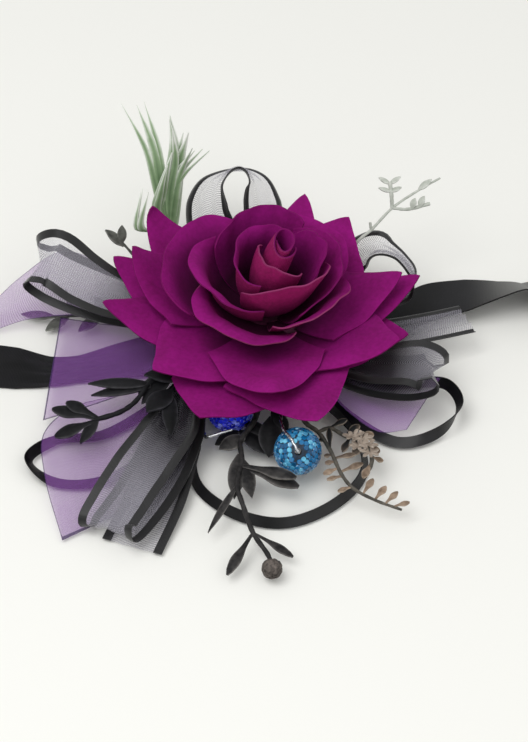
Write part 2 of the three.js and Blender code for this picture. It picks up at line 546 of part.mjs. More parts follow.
// Sprigs are moulded in one piece, and their places are over the calyx's foot.
// Stems are [places, root radius, end radius], leaves [root, tip, breadth].
const sprigShares = {
  berry_sprig_left: {
    stems: [
      [[[-0.066, -0.018, -0.011], [-0.16, -0.085, -0.007], [-0.245, -0.175, 0.002],
      [-0.295, -0.224, 0.011], [-0.332, -0.288, 0.006], [-0.369, -0.319, 0.001],
      [-0.433, -0.342, -0.004]], 0.006, 0.007],
    ],
    blades: [
      [[-0.293, -0.228, 0.011], [-0.455, -0.232, 0.016], 0.036],
      [[-0.293, -0.232, 0.008], [-0.447, -0.252, -0.007], 0.036],
      [[-0.24, -0.172, 0.001], [-0.325, -0.25, -0.002], 0.045],
      [[-0.24, -0.174, 0.001], [-0.315, -0.285, -0.004], 0.045],
      [[-0.425, -0.34, -0.004], [-0.469, -0.403, -0.029], 0.03],
    ],
    spoons: [
      [[-0.425, -0.34, -0.004], [-0.544, -0.308, 0.001], 0.042],
      [[-0.425, -0.338, -0.002], [-0.508, -0.296, 0.013], 0.036],
      [[-0.425, -0.343, -0.005], [-0.535, -0.378, -0.029], 0.042],
    ],
    berries: [],
  },
  berry_sprig_front: {
    stems: [
      [[[-0.002, -0.064, -0.021], [-0.012, -0.2, -0.033], [-0.022, -0.3, -0.041], [-0.06, -0.385, -0.039],
      [-0.056, -0.45, -0.039], [-0.068, -0.531, -0.044], [-0.053, -0.59, -0.054], [-0.027, -0.67, -0.069],
      [0.01, -0.734, -0.079], [0.02, -0.766, -0.081]], 0.008, 0.006],
    ],
    blades: [
      [[-0.062, -0.43, -0.039], [-0.075, -0.565, -0.059], 0.045],
      [[-0.054, -0.45, -0.039], [-0.03, -0.562, -0.059], 0.04],
      [[-0.066, -0.53, -0.044], [-0.14, -0.657, -0.084], 0.018],
      [[-0.05, -0.37, -0.039], [-0.115, -0.4, -0.051], 0.045],
    ],
    spoons: [
      [[-0.058, -0.47, -0.039], [0.081, -0.52, -0.029], 0.042],
      [[-0.058, -0.475, -0.041], [0.088, -0.524, -0.059], 0.045],
      [[-0.027, -0.67, -0.069], [-0.091, -0.79, -0.089], 0.028],
      [[-0.025, -0.672, -0.069], [0.072, -0.736, -0.084], 0.022],
    ],
    berries: [[[0.02, -0.777, -0.081], 0.026]],
  },
  fern_sprig_right: {
    stems: [
      [[[0.028, -0.066, -0.007], [0.07, -0.22, -0.011], [0.105, -0.335, -0.019], [0.138, -0.366, -0.024],
      [0.168, -0.424, -0.029], [0.197, -0.502, -0.039], [0.224, -0.537, -0.049], [0.279, -0.569, -0.059],
      [0.346, -0.593, -0.069]], 0.007, 0.0035],
      [[[0.138, -0.366, -0.024], [0.169, -0.352, -0.024], [0.207, -0.375, -0.029], [0.24, -0.389, -0.029],
      [0.265, -0.413, -0.034], [0.274, -0.452, -0.041], [0.255, -0.5, -0.047]], 0.005, 0.006],
    ],
    blades: [],
    spoons: [
      [[0.156, -0.4, -0.028], [0.146, -0.372, -0.041], 0.016],
      [[0.168, -0.424, -0.029], [0.166, -0.362, -0.014], 0.016],
      [[0.175, -0.441, -0.032], [0.153, -0.44, -0.035], 0.011],
      [[0.183, -0.461, -0.034], [0.155, -0.463, -0.037], 0.014],
      [[0.19, -0.48, -0.037], [0.15, -0.494, -0.044], 0.017],
      [[0.199, -0.505, -0.04], [0.159, -0.507, -0.051], 0.014],
      [[0.222, -0.534, -0.0485], [0.186, -0.542, -0.057], 0.014],
      [[0.178, -0.45, -0.033], [0.232, -0.446, -0.022], 0.016],
      [[0.195, -0.491, -0.039], [0.251, -0.465, -0.036], 0.019],
      [[0.25, -0.553, -0.053], [0.276, -0.511, -0.044], 0.019],
      [[0.279, -0.569, -0.059], [0.308, -0.532, -0.049], 0.019],
      [[0.305, -0.579, -0.0625], [0.337, -0.546, -0.054], 0.017],
      [[0.326, -0.586, -0.0655], [0.366, -0.574, -0.062], 0.014],
      [[0.169, -0.352, -0.024], [0.213, -0.326, -0.019], 0.017],
      [[0.207, -0.375, -0.029], [0.245, -0.345, -0.021], 0.023],
      [[0.22, -0.381, -0.029], [0.2, -0.427, -0.033], 0.019],
      [[0.24, -0.389, -0.029], [0.28, -0.378, -0.019], 0.028],
      [[0.25, -0.398, -0.031], [0.228, -0.432, -0.039], 0.023],
      [[0.262, -0.411, -0.033], [0.295, -0.422, -0.039], 0.023],
      [[0.273, -0.44, -0.039], [0.303, -0.445, -0.049], 0.016],
      [[0.272, -0.46, -0.042], [0.25, -0.51, -0.041], 0.02],
    ],
    berries: [],
  },
  leaf_spray_left: {
    stems: [[[[-0.066, -0.031, -0.011], [-0.14, -0.095, 0.002], [-0.2, -0.19, 0.0035],
    [-0.25, -0.26, 0.006]], 0.004, 0.005]],
    blades: [
      [[-0.245, -0.25, 0.005], [-0.237, -0.4, -0.007], 0.04],
      [[-0.24, -0.245, 0.005], [-0.3, -0.33, 0.013], 0.06],
      [[-0.2, -0.19, 0.0035], [-0.31, -0.215, 0.031], 0.055],
    ],
    spoons: [],
    berries: [],
  },
  leaf_spray_front: {
    stems: [[[[0.02, -0.06, -0.021], [0.028, -0.2, -0.025], [0.02, -0.32, -0.039]], 0.006, 0.005]],
    blades: [
      [[0.021, -0.3, -0.036], [0.012, -0.412, -0.069], 0.06],
      [[0.022, -0.28, -0.033], [0.06, -0.345, -0.049], 0.04],
    ],
    spoons: [],
    berries: [],
  },
  sprig_back_left: {
    stems: [
      [[[-0.105, 0.04, -0.063], [-0.22, 0.085, -0.061], [-0.36, 0.11, -0.067], [-0.5, 0.13, -0.087],
      [-0.6, 0.14, -0.101]], 0.006, 0.004],
      [[[-0.19, 0.078, -0.061], [-0.27, 0.17, -0.049], [-0.33, 0.24, -0.009], [-0.37, 0.27, 0.031],
      [-0.4, 0.285, 0.061]], 0.005, 0.003],
    ],
    blades: [
      [[-0.38, 0.272, 0.039], [-0.43, 0.29, 0.081], 0.03],
      [[-0.385, 0.276, 0.046], [-0.385, 0.305, 0.086], 0.025],
      [[-0.42, 0.118, -0.075], [-0.46, 0.185, -0.069], 0.035],
      [[-0.48, 0.128, -0.084], [-0.54, 0.195, -0.079], 0.035],
      [[-0.44, 0.12, -0.077], [-0.5, 0.07, -0.089], 0.035],
      [[-0.53, 0.132, -0.091], [-0.59, 0.085, -0.101], 0.035],
      [[-0.57, 0.136, -0.097], [-0.66, 0.15, -0.101], 0.03],
    ],
    spoons: [],
    berries: [],
  },
  twig_back_right: {
    stems: [
      [[[0.098, 0.065, 0.005], [0.16, 0.15, 0.009], [0.22, 0.23, 0.024], [0.252, 0.27, 0.056],
      [0.29, 0.29, 0.081], [0.347, 0.334, 0.121], [0.424, 0.386, 0.143],
      [0.479, 0.412, 0.161]], 0.006, 0.003],
      [[[0.347, 0.334, 0.121], [0.345, 0.35, 0.151], [0.34, 0.374, 0.181]], 0.005, 0.006],
      [[[0.347, 0.334, 0.121], [0.39, 0.334, 0.117], [0.45, 0.347, 0.126]], 0.004, 0.005],
      [[[0.29, 0.29, 0.081], [0.287, 0.298, 0.101]], 0.004, 0.004],
    ],
    blades: [
      [[0.42, 0.384, 0.143], [0.455, 0.4, 0.166], 0.02],
      [[0.342, 0.355, 0.161], [0.31, 0.365, 0.166], 0.014],
      [[0.342, 0.355, 0.161], [0.372, 0.365, 0.168], 0.014],
      [[0.34, 0.37, 0.176], [0.31, 0.385, 0.186], 0.014],
      [[0.34, 0.37, 0.176], [0.37, 0.388, 0.186], 0.014],
      [[0.4, 0.335, 0.12], [0.41, 0.35, 0.143], 0.018],
      [[0.42, 0.34, 0.122], [0.435, 0.355, 0.146], 0.018],
    ],
    spoons: [],
    berries: [],
  },
};

function addSprig(name, { stems, blades, spoons, berries }, finish) {
  const pieces = stems.map(([shares, rootShare, endShare]) => {
    const rootRadius = rootShare * sizeAt(shares[0]);
    const endRadius = endShare * sizeAt(shares.at(-1));
    return rod(lineThrough(shares, calyxLevel), rootRadius, endRadius, shares.length + 3, 4);
  });
  pieces.push(...blades.map((leaf) => leafBlade(leaf, bladeOutlineShares)));
  pieces.push(...spoons.map((leaf) => leafBlade(leaf, spoonOutlineShares)));
  for (const [centreShare, radiusShare] of berries) {
    const berry = new THREE.IcosahedronGeometry(radiusShare * sizeAt(centreShare), 1);
    pieces.push(berry.translate(...placeOf(centreShare, calyxLevel)));
  }
  addMesh(name, joined(pieces), finish);
}

const sprigFinish = { fern_sprig_right: "fern", twig_back_right: "twig" };
for (const [name, shares] of Object.entries(sprigShares))
  addSprig(name, shares, sprigFinish[name] ?? "leafBlack");

// Grass tuft: blades that rise from one bound root behind the rose, each [places, breadth]
const grassStartShare = [-0.667, 0.625, 0]; // of the glue's radius
const grassRootShares = [[-0.16, 0.2, -0.051], [-0.24, 0.33, -0.019], [-0.262, 0.38, 0.021]];
const grassBladeShares = [
  [[-0.26, 0.37, 0.011], [-0.28, 0.41, 0.091], [-0.3, 0.47, 0.211], [-0.345, 0.54, 0.311], 0.03],
  [[-0.26, 0.37, 0.011], [-0.26, 0.42, 0.101], [-0.245, 0.48, 0.201], [-0.255, 0.52, 0.291], 0.035],
  [[-0.255, 0.37, 0.011], [-0.25, 0.41, 0.081], [-0.235, 0.46, 0.161], [-0.205, 0.49, 0.256], 0.04],
  [[-0.26, 0.37, 0.011], [-0.27, 0.4, 0.071], [-0.245, 0.44, 0.141], [-0.19, 0.48, 0.201], 0.03],
  [[-0.27, 0.37, 0.011], [-0.29, 0.39, 0.061], [-0.275, 0.42, 0.131], [-0.25, 0.46, 0.211], 0.03],
  [[-0.265, 0.36, 0.011], [-0.3, 0.35, 0.021], [-0.335, 0.34, 0.041], [-0.315, 0.4, 0.121], 0.025],
];
const grassTipShare = 0.1;
const grassRootSpread = 0.25;
const grassStemShares = [0.008, 0.02];
function grassBlade(shares) {
  const line = lineThrough(shares.slice(0, -1), calyxLevel);
  const breadth = shares.at(-1) * sizeAt(shares[0]);
  const rows = [];
  const steps = 5;
  for (let i = 0; i <= steps; i++) {
    const swell = Math.sin(Math.PI * mix(grassRootSpread, 1, i / steps));
    const half = (breadth / 2) * Math.max(grassTipShare, swell);
    const centre = line.getPoint(i / steps);
    rows.push([-half, 0, half].map((x) => centre.clone().add(new THREE.Vector3(x, 0, 0))));
  }
  return sheetSolid(rows, leafThick);
}
const [grassFoot, grassTop] = grassStemShares.map((share) => share * sizeAt(grassStartShare));
const grassStart = pointOf(grassStartShare, glue.radius).setZ(glueLevel + glue.height);
const grassRoot = rod(lineThrough(grassRootShares, calyxLevel, grassStart), grassFoot, grassTop, 6, 6);
addMesh("grass_tuft", joined([grassRoot, ...grassBladeShares.map(grassBlade)]), "grass");

// Two pave beads, each turning on a twisted wire, which enters the bore on the near side.
// Places are [x, y, height over the calyx's foot], directions plain.
const beadShares = {
  turquoise: {
    centre: [0.086, -0.428, -0.029],
    bore: [0, -0.707, 0.707],
    root: [[0.014, -0.062, -0.006], [0.03, -0.2, -0.001], [0.041, -0.29, 0.003]],
    over: [[-0.55, 0.35, 0.85], [-0.25, -0.35, 1]],
    end: [],
  },
  cobalt: {
    centre: [-0.088, -0.26, -0.047],
    bore: [0.75, -0.45, 0.48],
    root: [[-0.005, -0.064, -0.006], [-0.02, -0.13, -0.005]],
    over: [[0.7, 0.75, 0.65], [0.95, 0.1, 0.75]],
    end: [[-0.155, -0.235, -0.079], [-0.158, -0.3, -0.077], [-0.15, -0.355, -0.054], [-0.14, -0.378, -0.029],
      [-0.11, -0.372, -0.021], [-0.082, -0.363, -0.019]],
  },
};
const wireLift = wire.radius + gap; // how far the wire's middle stays off a bead
function addBead(colour, { centre, bore, root, over, end }) {
  const middle = placeOf(centre, calyxLevel);
  const axis = pointOf(bore).normalize();
  const ball = new THREE.IcosahedronGeometry(bead.radius, 3).translate(...middle);
  const drill = new THREE.CylinderGeometry(bead.bore, bead.bore, 3 * bead.radius, 12);
  drill.applyQuaternion(new THREE.Quaternion().setFromUnitVectors(new THREE.Vector3(0, 1, 0), axis));
  drill.translate(...middle);
  addMesh("bead_" + colour, toGeometry(toSolid(ball).subtract(toSolid(drill))), colour);
  const places = root.map((place) => placeOf(place, calyxLevel));
  const clear = bead.radius + 2 * wireLift;
  for (const way of over) places.push(middle.clone().addScaledVector(pointOf(way).normalize(), clear));
  for (const reach of [clear, bead.radius, -bead.radius - wireLift])
    places.push(middle.clone().addScaledVector(axis, reach));
  places.push(...end.map((place) => placeOf(place, calyxLevel)));
  const line = new THREE.CatmullRomCurve3(places, false, "centripetal");
  addMesh("bead_wire_" + colour, rod(line, wire.radius, wire.radius, 4 * places.length, 5), "silver");
}
for (const [colour, shares] of Object.entries(beadShares)) addBead(colour, shares);

// The rose. Every petal lies in one surface of a nest that opens from the bud (0) to the widest ring (5),
// so petals never cross. Each surface is turned from a curve [foot, lower, upper, rim], its places [out, up].
const nestShares = [
  [[0.044, 0.2], [0.09, 0.28], [0.1, 0.44], [0.064, 0.6]],
  [[0.084, 0.158], [0.19, 0.22], [0.25, 0.38], [0.23, 0.55]],
  [[0.124, 0.116], [0.26, 0.14], [0.33, 0.28], [0.345, 0.46]],
  [[0.164, 0.074], [0.36, 0.08], [0.5, 0.2], [0.54, 0.35]],
  [[0.204, 0.032], [0.42, 0.03], [0.64, 0.14], [0.75, 0.24]],
  [[0.244, -0.01], [0.48, -0.03], [0.74, 0.03], [0.86, 0.09]],
];
function nestPlace(surface, along) {
  const k = THREE.MathUtils.clamp(Math.floor(surface), 0, nestShares.length - 2);
  const [out, up] = [0, 1].map((axis) => {
    const between = (place, i) => mix(place[axis], nestShares[k + 1][i][axis], surface - k);
    const [a, b, c, d] = nestShares[k].map(between);
    const back = 1 - along;
    return back ** 3 * a + 3 * back ** 2 * along * b + 3 * back * along ** 2 * c + along ** 3 * d;
  });
  return [out * rose.nest, up * rose.nest];
}

// [name, azimuth, surface, half angle, then shares: length, side length, tip, rim roll, winding out, slant]
const petalShares = [
  ["petal_bud", 75, 0.12, 280, 0.97, 0.93, 0, 0, 0.14, 0],
  ["petal_bud_front", -125, 0.58, 85, 1, 0.8, 0, 0.02, 0.2, 0],
  ["petal_bud_right", 18, 0.88, 45, 1, 0.75, 0, 0.01, -0.22, 0],
  ["petal_bud_left", 166, 0.82, 84, 1, 0.82, 0, 0.05, 0.1, -0.03],
  ["petal_cup_front", -64, 1.34, 66, 1, 0.76, 0, 0.015, 0.1, 0.05],
  ["petal_inner_back", 107, 2.05, 44, 1.1, 0.8, 0, 0.025, -0.08, -0.03],
  ["petal_inner_right", 6, 1.84, 63, 0.98, 0.74, 0, 0.03, -0.1, 0.1],
  ["petal_inner_left", -156, 1.87, 61, 1.02, 0.76, 0, 0.07, -0.33, -0.15],
  ["petal_inner_front_right", -38, 2.2, 47, 0.94, 0.7, 0, 0.04, 0.08, 0.04],
  ["petal_inner_front_left", -120, 2.26, 56, 0.84, 0.78, 0, 0.07, 0.16, -0.08],
  ["petal_middle_left", 153, 3, 50, 1.06, 0.66, 0, 0.04, -0.15, -0.06],
  ["petal_middle_right", 60, 2.8, 44, 0.94, 0.62, 0, 0.04, 0, 0],
  ["petal_outer_front", -88, 3.7, 43, 1.07, 0.42, 0.12, 0.07, 0, 0],
  ["petal_outer_right", 9, 3.75, 42, 0.93, 0.42, 0.08, 0.02, 0, 0],
  ["petal_outer_back", 112, 3.5, 30, 0.78, 0.6, 0, 0, 0, 0],
  ["petal_outer_left", 162, 3.8, 34, 1.14, 0.45, 0.08, 0.01, 0, 0],
  ["petal_outer_front_left", -138, 4.12, 41, 0.85, 0.55, 0.06, 0.04, 0, 0],
  ["petal_outer_front_right", -28, 4.05, 36, 0.97, 0.52, 0.06, 0.02, 0, 0],
  ["petal_outer_back_right", 53, 4.08, 34, 0.9, 0.66, 0.06, 0.01, 0, 0],
  ["petal_rim_back", 75, 4.5, 30, 0.99, 0.45, 0.1, 0, 0, 0],
  ["petal_rim_back_far_left", 138, 4.2, 28, 1.2, 0.42, 0.2, 0, 0, 0],
  ["petal_rim_left", 184, 4.5, 34, 1.02, 0.4, 0.12, 0, 0, 0],
  ["petal_rim_right", 11, 4.5, 32, 0.98, 0.42, 0.1, 0, 0, 0],
  ["petal_rim_front", -73, 4.5, 38, 1.02, 0.52, 0.14, 0.06, 0, 0],
  ["petal_rim_back_left", 155, 4.95, 30, 1.02, 0.45, 0.1, 0, 0, 0],
  ["petal_rim_front_left", -113, 4.95, 38, 0.87, 0.58, 0.03, 0.02, 0, 0],
  ["petal_rim_front_right", -12, 4.95, 36, 0.77, 0.5, 0.04, 0, 0, 0],
];
const petalRowShares = [0, 0.3, 0.6, 0.85, 1]; // rows of points along a petal
const rollStartShare = 0.7;
const rollTaper = 4; // how much faster than the rim a slanted petal's roll dies away
const budSqueezeShare = 0.5; // how much narrower than deep the folded bud is
const tipBreadthShare = 0.16;
const pointedFall = 1.6; // how the rim falls away beside a tip
const roundFall = 2.4; // and where there is none
const nestTopShare = 0.6;
const leanPower = 2.5;
function petalRows(petal, columns) {
  const [, azimuth, surface, halfAngle, lengthShare, sideShare, tipShare, rollShare, windShare, slant] = petal;
  return petalRowShares.map((along) => {
    const row = [];
    for (let j = 0; j <= columns; j++) {
      const side = (2 * j) / columns - 1;
      const tip = tipShare * Math.exp(-((side / tipBreadthShare) ** 2));
      const fall = tipShare ? 1 - (1 - Math.abs(side)) ** pointedFall : Math.abs(side) ** roundFall;
      const rim = lengthShare * (1 + tip + slant * side - (1 - sideShare) * fall);
      const nested = surface + windShare * side;
      const [out, up] = nestPlace(nested, rim * along);
      const rolled = Math.max(0, (along - rollStartShare) / (1 - rollStartShare));
      const breadth = tipShare ? (1 - Math.abs(side)) ** 2 : 1 - side ** 4;
      const roll = rollShare * rose.nest * breadth * (1 + rollTaper * slant * side);
      const reach = out + roll * rolled ** 1.5;
      const height = up - roll * rolled ** 2;
      const turn = THREE.MathUtils.degToRad(azimuth + halfAngle * side);
      const lean = rose.lean * Math.max(0, height / (nestTopShare * rose.nest)) ** leanPower;
      const squeeze = 1 - budSqueezeShare * Math.max(0, 1 - nested);
      row.push(new THREE.Vector3(squeeze * reach * Math.cos(turn) + lean, reach * Math.sin(turn), height));
    }
    return row;
  });
}

const wideColumns = [[180, 22], [70, 10], [0, 6]]; // columns of a petal with at least this half angle
const flower = new THREE.Group();
flower.position.set(0, 0, roseLevel);
corsage.add(flower);
for (const petal of petalShares) {
  const columns = wideColumns.find(([fromHalfAngle]) => petal[3] >= fromHalfAngle)[1];
  addMesh(petal[0], sheetSolid(petalRows(petal, columns), rose.petalThick), "velvet", flower);
}

// The hip inside the petals carries their feet. The stem is glued into it from below.
const [[footOut]] = nestShares.at(-1);
const [[tipOut, tipUp]] = nestShares[0];
const footSlope = Math.SQRT2; // the petals' feet lie along the hip's 45 degree flank
const seatGap = (gap + rose.petalThick) * footSlope;
const hip = new THREE.LatheGeometry(
  [
    new THREE.Vector2(boreRadius, 0),
    new THREE.Vector2(footOut * rose.nest - seatGap - gap, 0),
    new THREE.Vector2(tipOut * rose.nest - gap, tipUp * rose.nest - seatGap),
    new THREE.Vector2(0, tipUp * rose.nest),
    new THREE.Vector2(0, stem.grip + gap),
    new THREE.Vector2(boreRadius, stem.grip + gap),
    new THREE.Vector2(boreRadius, 0),
  ],
  20,
);
const cup = ring(knot.radius, boreRadius, calyx.height, calyxLevel, calyx.radius);
addMesh("calyx_cup", cup, "calyxGreen");
addMesh("rose_hip", hip.rotateX(Math.PI / 2), "calyxGreen", flower);

export default corsage;
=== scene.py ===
import math
import random
from functools import partial

import bpy
import numpy as np
from mathutils import Matrix, Vector


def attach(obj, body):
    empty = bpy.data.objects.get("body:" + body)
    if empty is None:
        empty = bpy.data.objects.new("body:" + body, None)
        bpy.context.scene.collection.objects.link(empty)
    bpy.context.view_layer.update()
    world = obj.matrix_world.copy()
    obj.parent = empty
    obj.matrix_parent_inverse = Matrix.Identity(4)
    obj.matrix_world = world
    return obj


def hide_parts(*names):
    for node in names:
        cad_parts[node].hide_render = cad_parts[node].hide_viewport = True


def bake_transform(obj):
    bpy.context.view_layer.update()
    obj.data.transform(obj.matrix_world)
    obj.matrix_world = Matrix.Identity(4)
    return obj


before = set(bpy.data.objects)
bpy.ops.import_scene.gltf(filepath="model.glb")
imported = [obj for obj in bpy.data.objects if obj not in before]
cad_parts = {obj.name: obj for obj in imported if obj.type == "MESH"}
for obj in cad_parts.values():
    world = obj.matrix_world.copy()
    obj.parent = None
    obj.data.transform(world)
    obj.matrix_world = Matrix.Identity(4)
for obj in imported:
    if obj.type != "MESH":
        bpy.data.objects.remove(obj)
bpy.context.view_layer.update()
scene = bpy.context.scene
# the size of which the tables give thousandths, and the level of the calyx's foot
arrangement = 0.1
calyxLevel = 0.0119
body = "corsage"
sharpAngle = math.radians(60)


# Colours, nodes and materials
def linear(hexColour):
    values = [int(hexColour[i : i + 2], 16) / 255 for i in (1, 3, 5)]
    return (*[v / 12.92 if v <= 0.04045 else ((v + 0.055) / 1.055) ** 2.4 for v in values], 1)


def setInputs(tree, node, inputs):
    for key, value in inputs.items() if isinstance(inputs, dict) else enumerate(inputs):
        if isinstance(value, bpy.types.NodeSocket):
            tree.links.new(value, node.inputs[key])
        else:
            isColour = isinstance(value, str) and value.startswith("#")
            node.inputs[key].default_value = linear(value) if isColour else value


def addNode(tree, kind, inputs=(), out=0, stops=(), **settings):
    # kind may name an operation too; inputs go by name or in their order; out is the output that the caller
    # needs; stops belong to a colour ramp
    kind, *operation = kind.split()
    node = tree.nodes.new(kind if "Node" in kind else "ShaderNode" + kind)
    if operation:
        node.operation = operation[0]
    for key, value in settings.items():
        setattr(node, key, value)
    setInputs(tree, node, inputs)
    if stops:
        elements = node.color_ramp.elements
        while len(elements) < len(stops):
            elements.new(0.5)
        for element, (place, colour) in zip(elements, stops):
            element.position = place
            element.color = linear(colour)
    return node.outputs[out]


def weighted(add, total, *parts, clamp=False):
    # a total, with each part added as often as its weight says
    for value, weight in parts:
        total = add("Math MULTIPLY_ADD", (value, weight, total), use_clamp=clamp)
    return total


def threadWaves(add, place, pitch):
    # the rise and fall of threads that lie a pitch apart, in millimetres
    turned = add("Math MULTIPLY", (place, 2 * math.pi / pitch))
    return add("Math SINE", (turned,))


def startMaterial(name):
    material = bpy.data.materials.new(name)
    material.use_nodes = True
    add = partial(addNode, material.node_tree)
    return material, add, add("TexCoord", out="Object")


def finishMaterial(material, shader, *relief):
    # relief is the height, the strength and the distance of a bump
    tree = material.node_tree
    if relief:
        shader["Normal"] = addNode(tree, "Bump", dict(zip(("Height", "Strength", "Distance"), relief)))
    setInputs(tree, tree.nodes["Principled BSDF"], shader)
    return material


def clothCoords(add):
    # the piece's own UV, which holds millimetres across and along the cloth
    split = add("SeparateXYZ", (add("UVMap", uv_map="cloth"),)).node.outputs
    return split["X"], split["Y"]


# Curves and meshes
def curvePoints(places, count):
    # the centripetal curve through places, with the same number of samples on each stretch
    pts = np.array(places, float)
    pts = np.vstack([2 * pts[0] - pts[1], pts, 2 * pts[-1] - pts[-2]])
    stretches = len(places) - 1
    found = []
    for t in np.linspace(0, stretches, count):
        k = min(int(t), stretches - 1)
        p0, p1, p2, p3 = pts[k : k + 4]
        w = t - k
        d0, d1, d2 = (max(np.linalg.norm(b - a) ** 0.5, 1e-6) for a, b in ((p0, p1), (p1, p2), (p2, p3)))
        m1 = ((p1 - p0) / d0 - (p2 - p0) / (d0 + d1) + (p2 - p1) / d1) * d1
        m2 = ((p2 - p1) / d1 - (p3 - p1) / (d1 + d2) + (p3 - p2) / d2) * d1
        found.append(p1 + m1 * w + (3 * (p2 - p1) - 2 * m1 - m2) * w**2 + (2 * (p1 - p2) + m1 + m2) * w**3)
    return np.array(found)


def overCalyx(places):
    return np.array(places, float).reshape(-1, 3) / 1000 * arrangement + [0, 0, calyxLevel]


def unit(vectors):
    return vectors / np.maximum(np.linalg.norm(vectors, axis=-1, keepdims=True), 1e-12)


def lengthOf(line):
    return float(np.linalg.norm(np.diff(line, axis=0), axis=1).sum())


def clothUv(rows):
    # millimetres across from the middle column, and along from the first row
    across = np.linalg.norm(np.diff(rows, axis=1), axis=2).cumsum(axis=1)
    across = np.hstack([np.zeros((len(rows), 1)), across])
    across -= across[:, -1:] / 2
    along = np.linalg.norm(np.diff(rows, axis=0), axis=2).cumsum(axis=0)
    along = np.vstack([np.zeros((1, rows.shape[1])), along])
    return np.dstack([across, along]) * 1000


def makeShape(points, faces, uv=None, slots=0, tone=0.0):
    uv = points[:, :2] * 1000 if uv is None else uv.reshape(-1, 2)
    slots, tone = np.broadcast_to(slots, len(faces)), np.broadcast_to(tone, len(points))
    return {"points": points, "faces": faces, "uv": uv, "slots": slots, "tone": tone}


def quadsOf(a, b, c, d):
    return np.stack([a, b, c, d], axis=-1).reshape(-1, 4)


def sheetShape(rows, thick, slots=(0, 0, 0), tone=0.0):
    # a closed sheet of even thickness: slots are the materials of its front, back and edge
    count, wide = rows.shape[:2]
    offset = unit(np.cross(np.gradient(rows, axis=0), np.gradient(rows, axis=1))) * thick / 2
    points = np.concatenate([(rows + offset).reshape(-1, 3), (rows - offset).reshape(-1, 3)])
    front = np.arange(count * wide).reshape(count, wide)
    back = front + count * wide
    sides = [
        quadsOf(front[:-1, :-1], front[1:, :-1], front[1:, 1:], front[:-1, 1:]),
        quadsOf(back[:-1, :-1], back[:-1, 1:], back[1:, 1:], back[1:, :-1]),
        np.concatenate([
            quadsOf(front[:-1, 0], back[:-1, 0], back[1:, 0], front[1:, 0]),
            quadsOf(front[:-1, -1], front[1:, -1], back[1:, -1], back[:-1, -1]),
            quadsOf(front[0, :-1], front[0, 1:], back[0, 1:], back[0, :-1]),
            quadsOf(front[-1, :-1], back[-1, :-1], back[-1, 1:], front[-1, 1:]),
        ]),
    ]
    uv = np.tile(clothUv(rows).reshape(-1, 2), (2, 1))
    tones = np.tile(np.broadcast_to(tone, (count, wide)).reshape(-1), 2)
    kinds = np.repeat(slots, [len(faces) for faces in sides])
    return makeShape(points, np.concatenate(sides).tolist(), uv, kinds, tones)


def ringFaces(count, sides, loop=False):
    # quads between rings of points; the last ring meets the first, or one face closes each end
    index = np.arange(count * sides).reshape(count, sides)
    if loop:
        index = np.vstack([index, index[:1]])
    after = np.roll(index, -1, axis=1)
    quads = quadsOf(index[:-1], after[:-1], after[1:], index[1:]).tolist()
    return quads if loop else quads + [index[0, ::-1].tolist(), index[-1].tolist()]


def ovalRing(turns, reachX, reachY, level):
    return np.stack([reachX * np.cos(turns), reachY * np.sin(turns), level + 0 * turns], axis=1)


def tubeShape(points, radii, sides, slot=0):
    points = np.asarray(points, float)
    radii = np.broadcast_to(radii, len(points))
    tangents = unit(np.gradient(points, axis=0))
    # any direction that no tube runs along
    normal = unit(np.cross(tangents[0], [0.31, 0.17, 0.93]))
    turns = np.linspace(0, 2 * math.pi, sides, endpoint=False)
    rings = []
    for point, tangent, radius in zip(points, tangents, radii):
        normal = unit(normal - tangent * np.dot(normal, tangent))
        other = np.cross(tangent, normal)
        rings.append(point + radius * (np.outer(np.cos(turns), normal) + np.outer(np.sin(turns), other)))
    length = np.concatenate([[0], np.linalg.norm(np.diff(points, axis=0), axis=1).cumsum()])
    around = np.linspace(0, 1, sides, endpoint=False)
    around = around[None, :] * 2 * math.pi * radii[:, None]
    uv = np.stack(np.broadcast_arrays(around, length[:, None]), axis=-1) * 1000
    return makeShape(np.concatenate(rings), ringFaces(len(points), sides), uv, slot)


def makePiece(name, shapes, materials, replaces, ride=body):
    faces, first = [], 0
    for shape in shapes:
        faces += [[first + i for i in face] for face in shape["faces"]]
        first += len(shape["points"])
    points, uvs, slots, tones = (
        np.concatenate([shape[key] for shape in shapes]) for key in ("points", "uv", "slots", "tone")
    )
    mesh = bpy.data.meshes.new(name)
    mesh.from_pydata(points.tolist(), [], faces)
    for material in materials:
        mesh.materials.append(material)
    mesh.polygons.foreach_set("material_index", slots.astype(np.int32))
    mesh.polygons.foreach_set("use_smooth", np.ones(len(faces), bool))
    vertexOf = np.empty(len(mesh.loops), np.int32)
    mesh.loops.foreach_get("vertex_index", vertexOf)
    layer = mesh.uv_layers.new(name="cloth")
    layer.data.foreach_set("uv", uvs[vertexOf].astype(np.float32).ravel())
    attribute = mesh.attributes.new("tone", "FLOAT", "POINT")
    attribute.data.foreach_set("value", tones.astype(np.float32))
    mesh.update()
    mesh.set_sharp_from_angle(angle=sharpAngle)
    piece = bpy.data.objects.new(name, mesh)
    scene.collection.objects.link(piece)
    if ride:
        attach(piece, ride)
    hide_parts(*replaces)
    return piece


# Camera, light and floor: the floor is pale matt paint, which gives the eye a soft shadow and no glare
view = {"elevation": 45, "distance": 0.7, "aim": (0, -0.005, 0), "lens": 127.2}
lamps = {
    "key_light": {"place": (-0.3, -0.22, 0.8), "power": 3.6, "size": 0.6},
    "fill_light": {"place": (0.3, -0.5, 0.62), "power": 1.35, "size": 0.8},
}
studio = {"sky": 0.58, "floor": "#f2f2ed", "reach": 3}


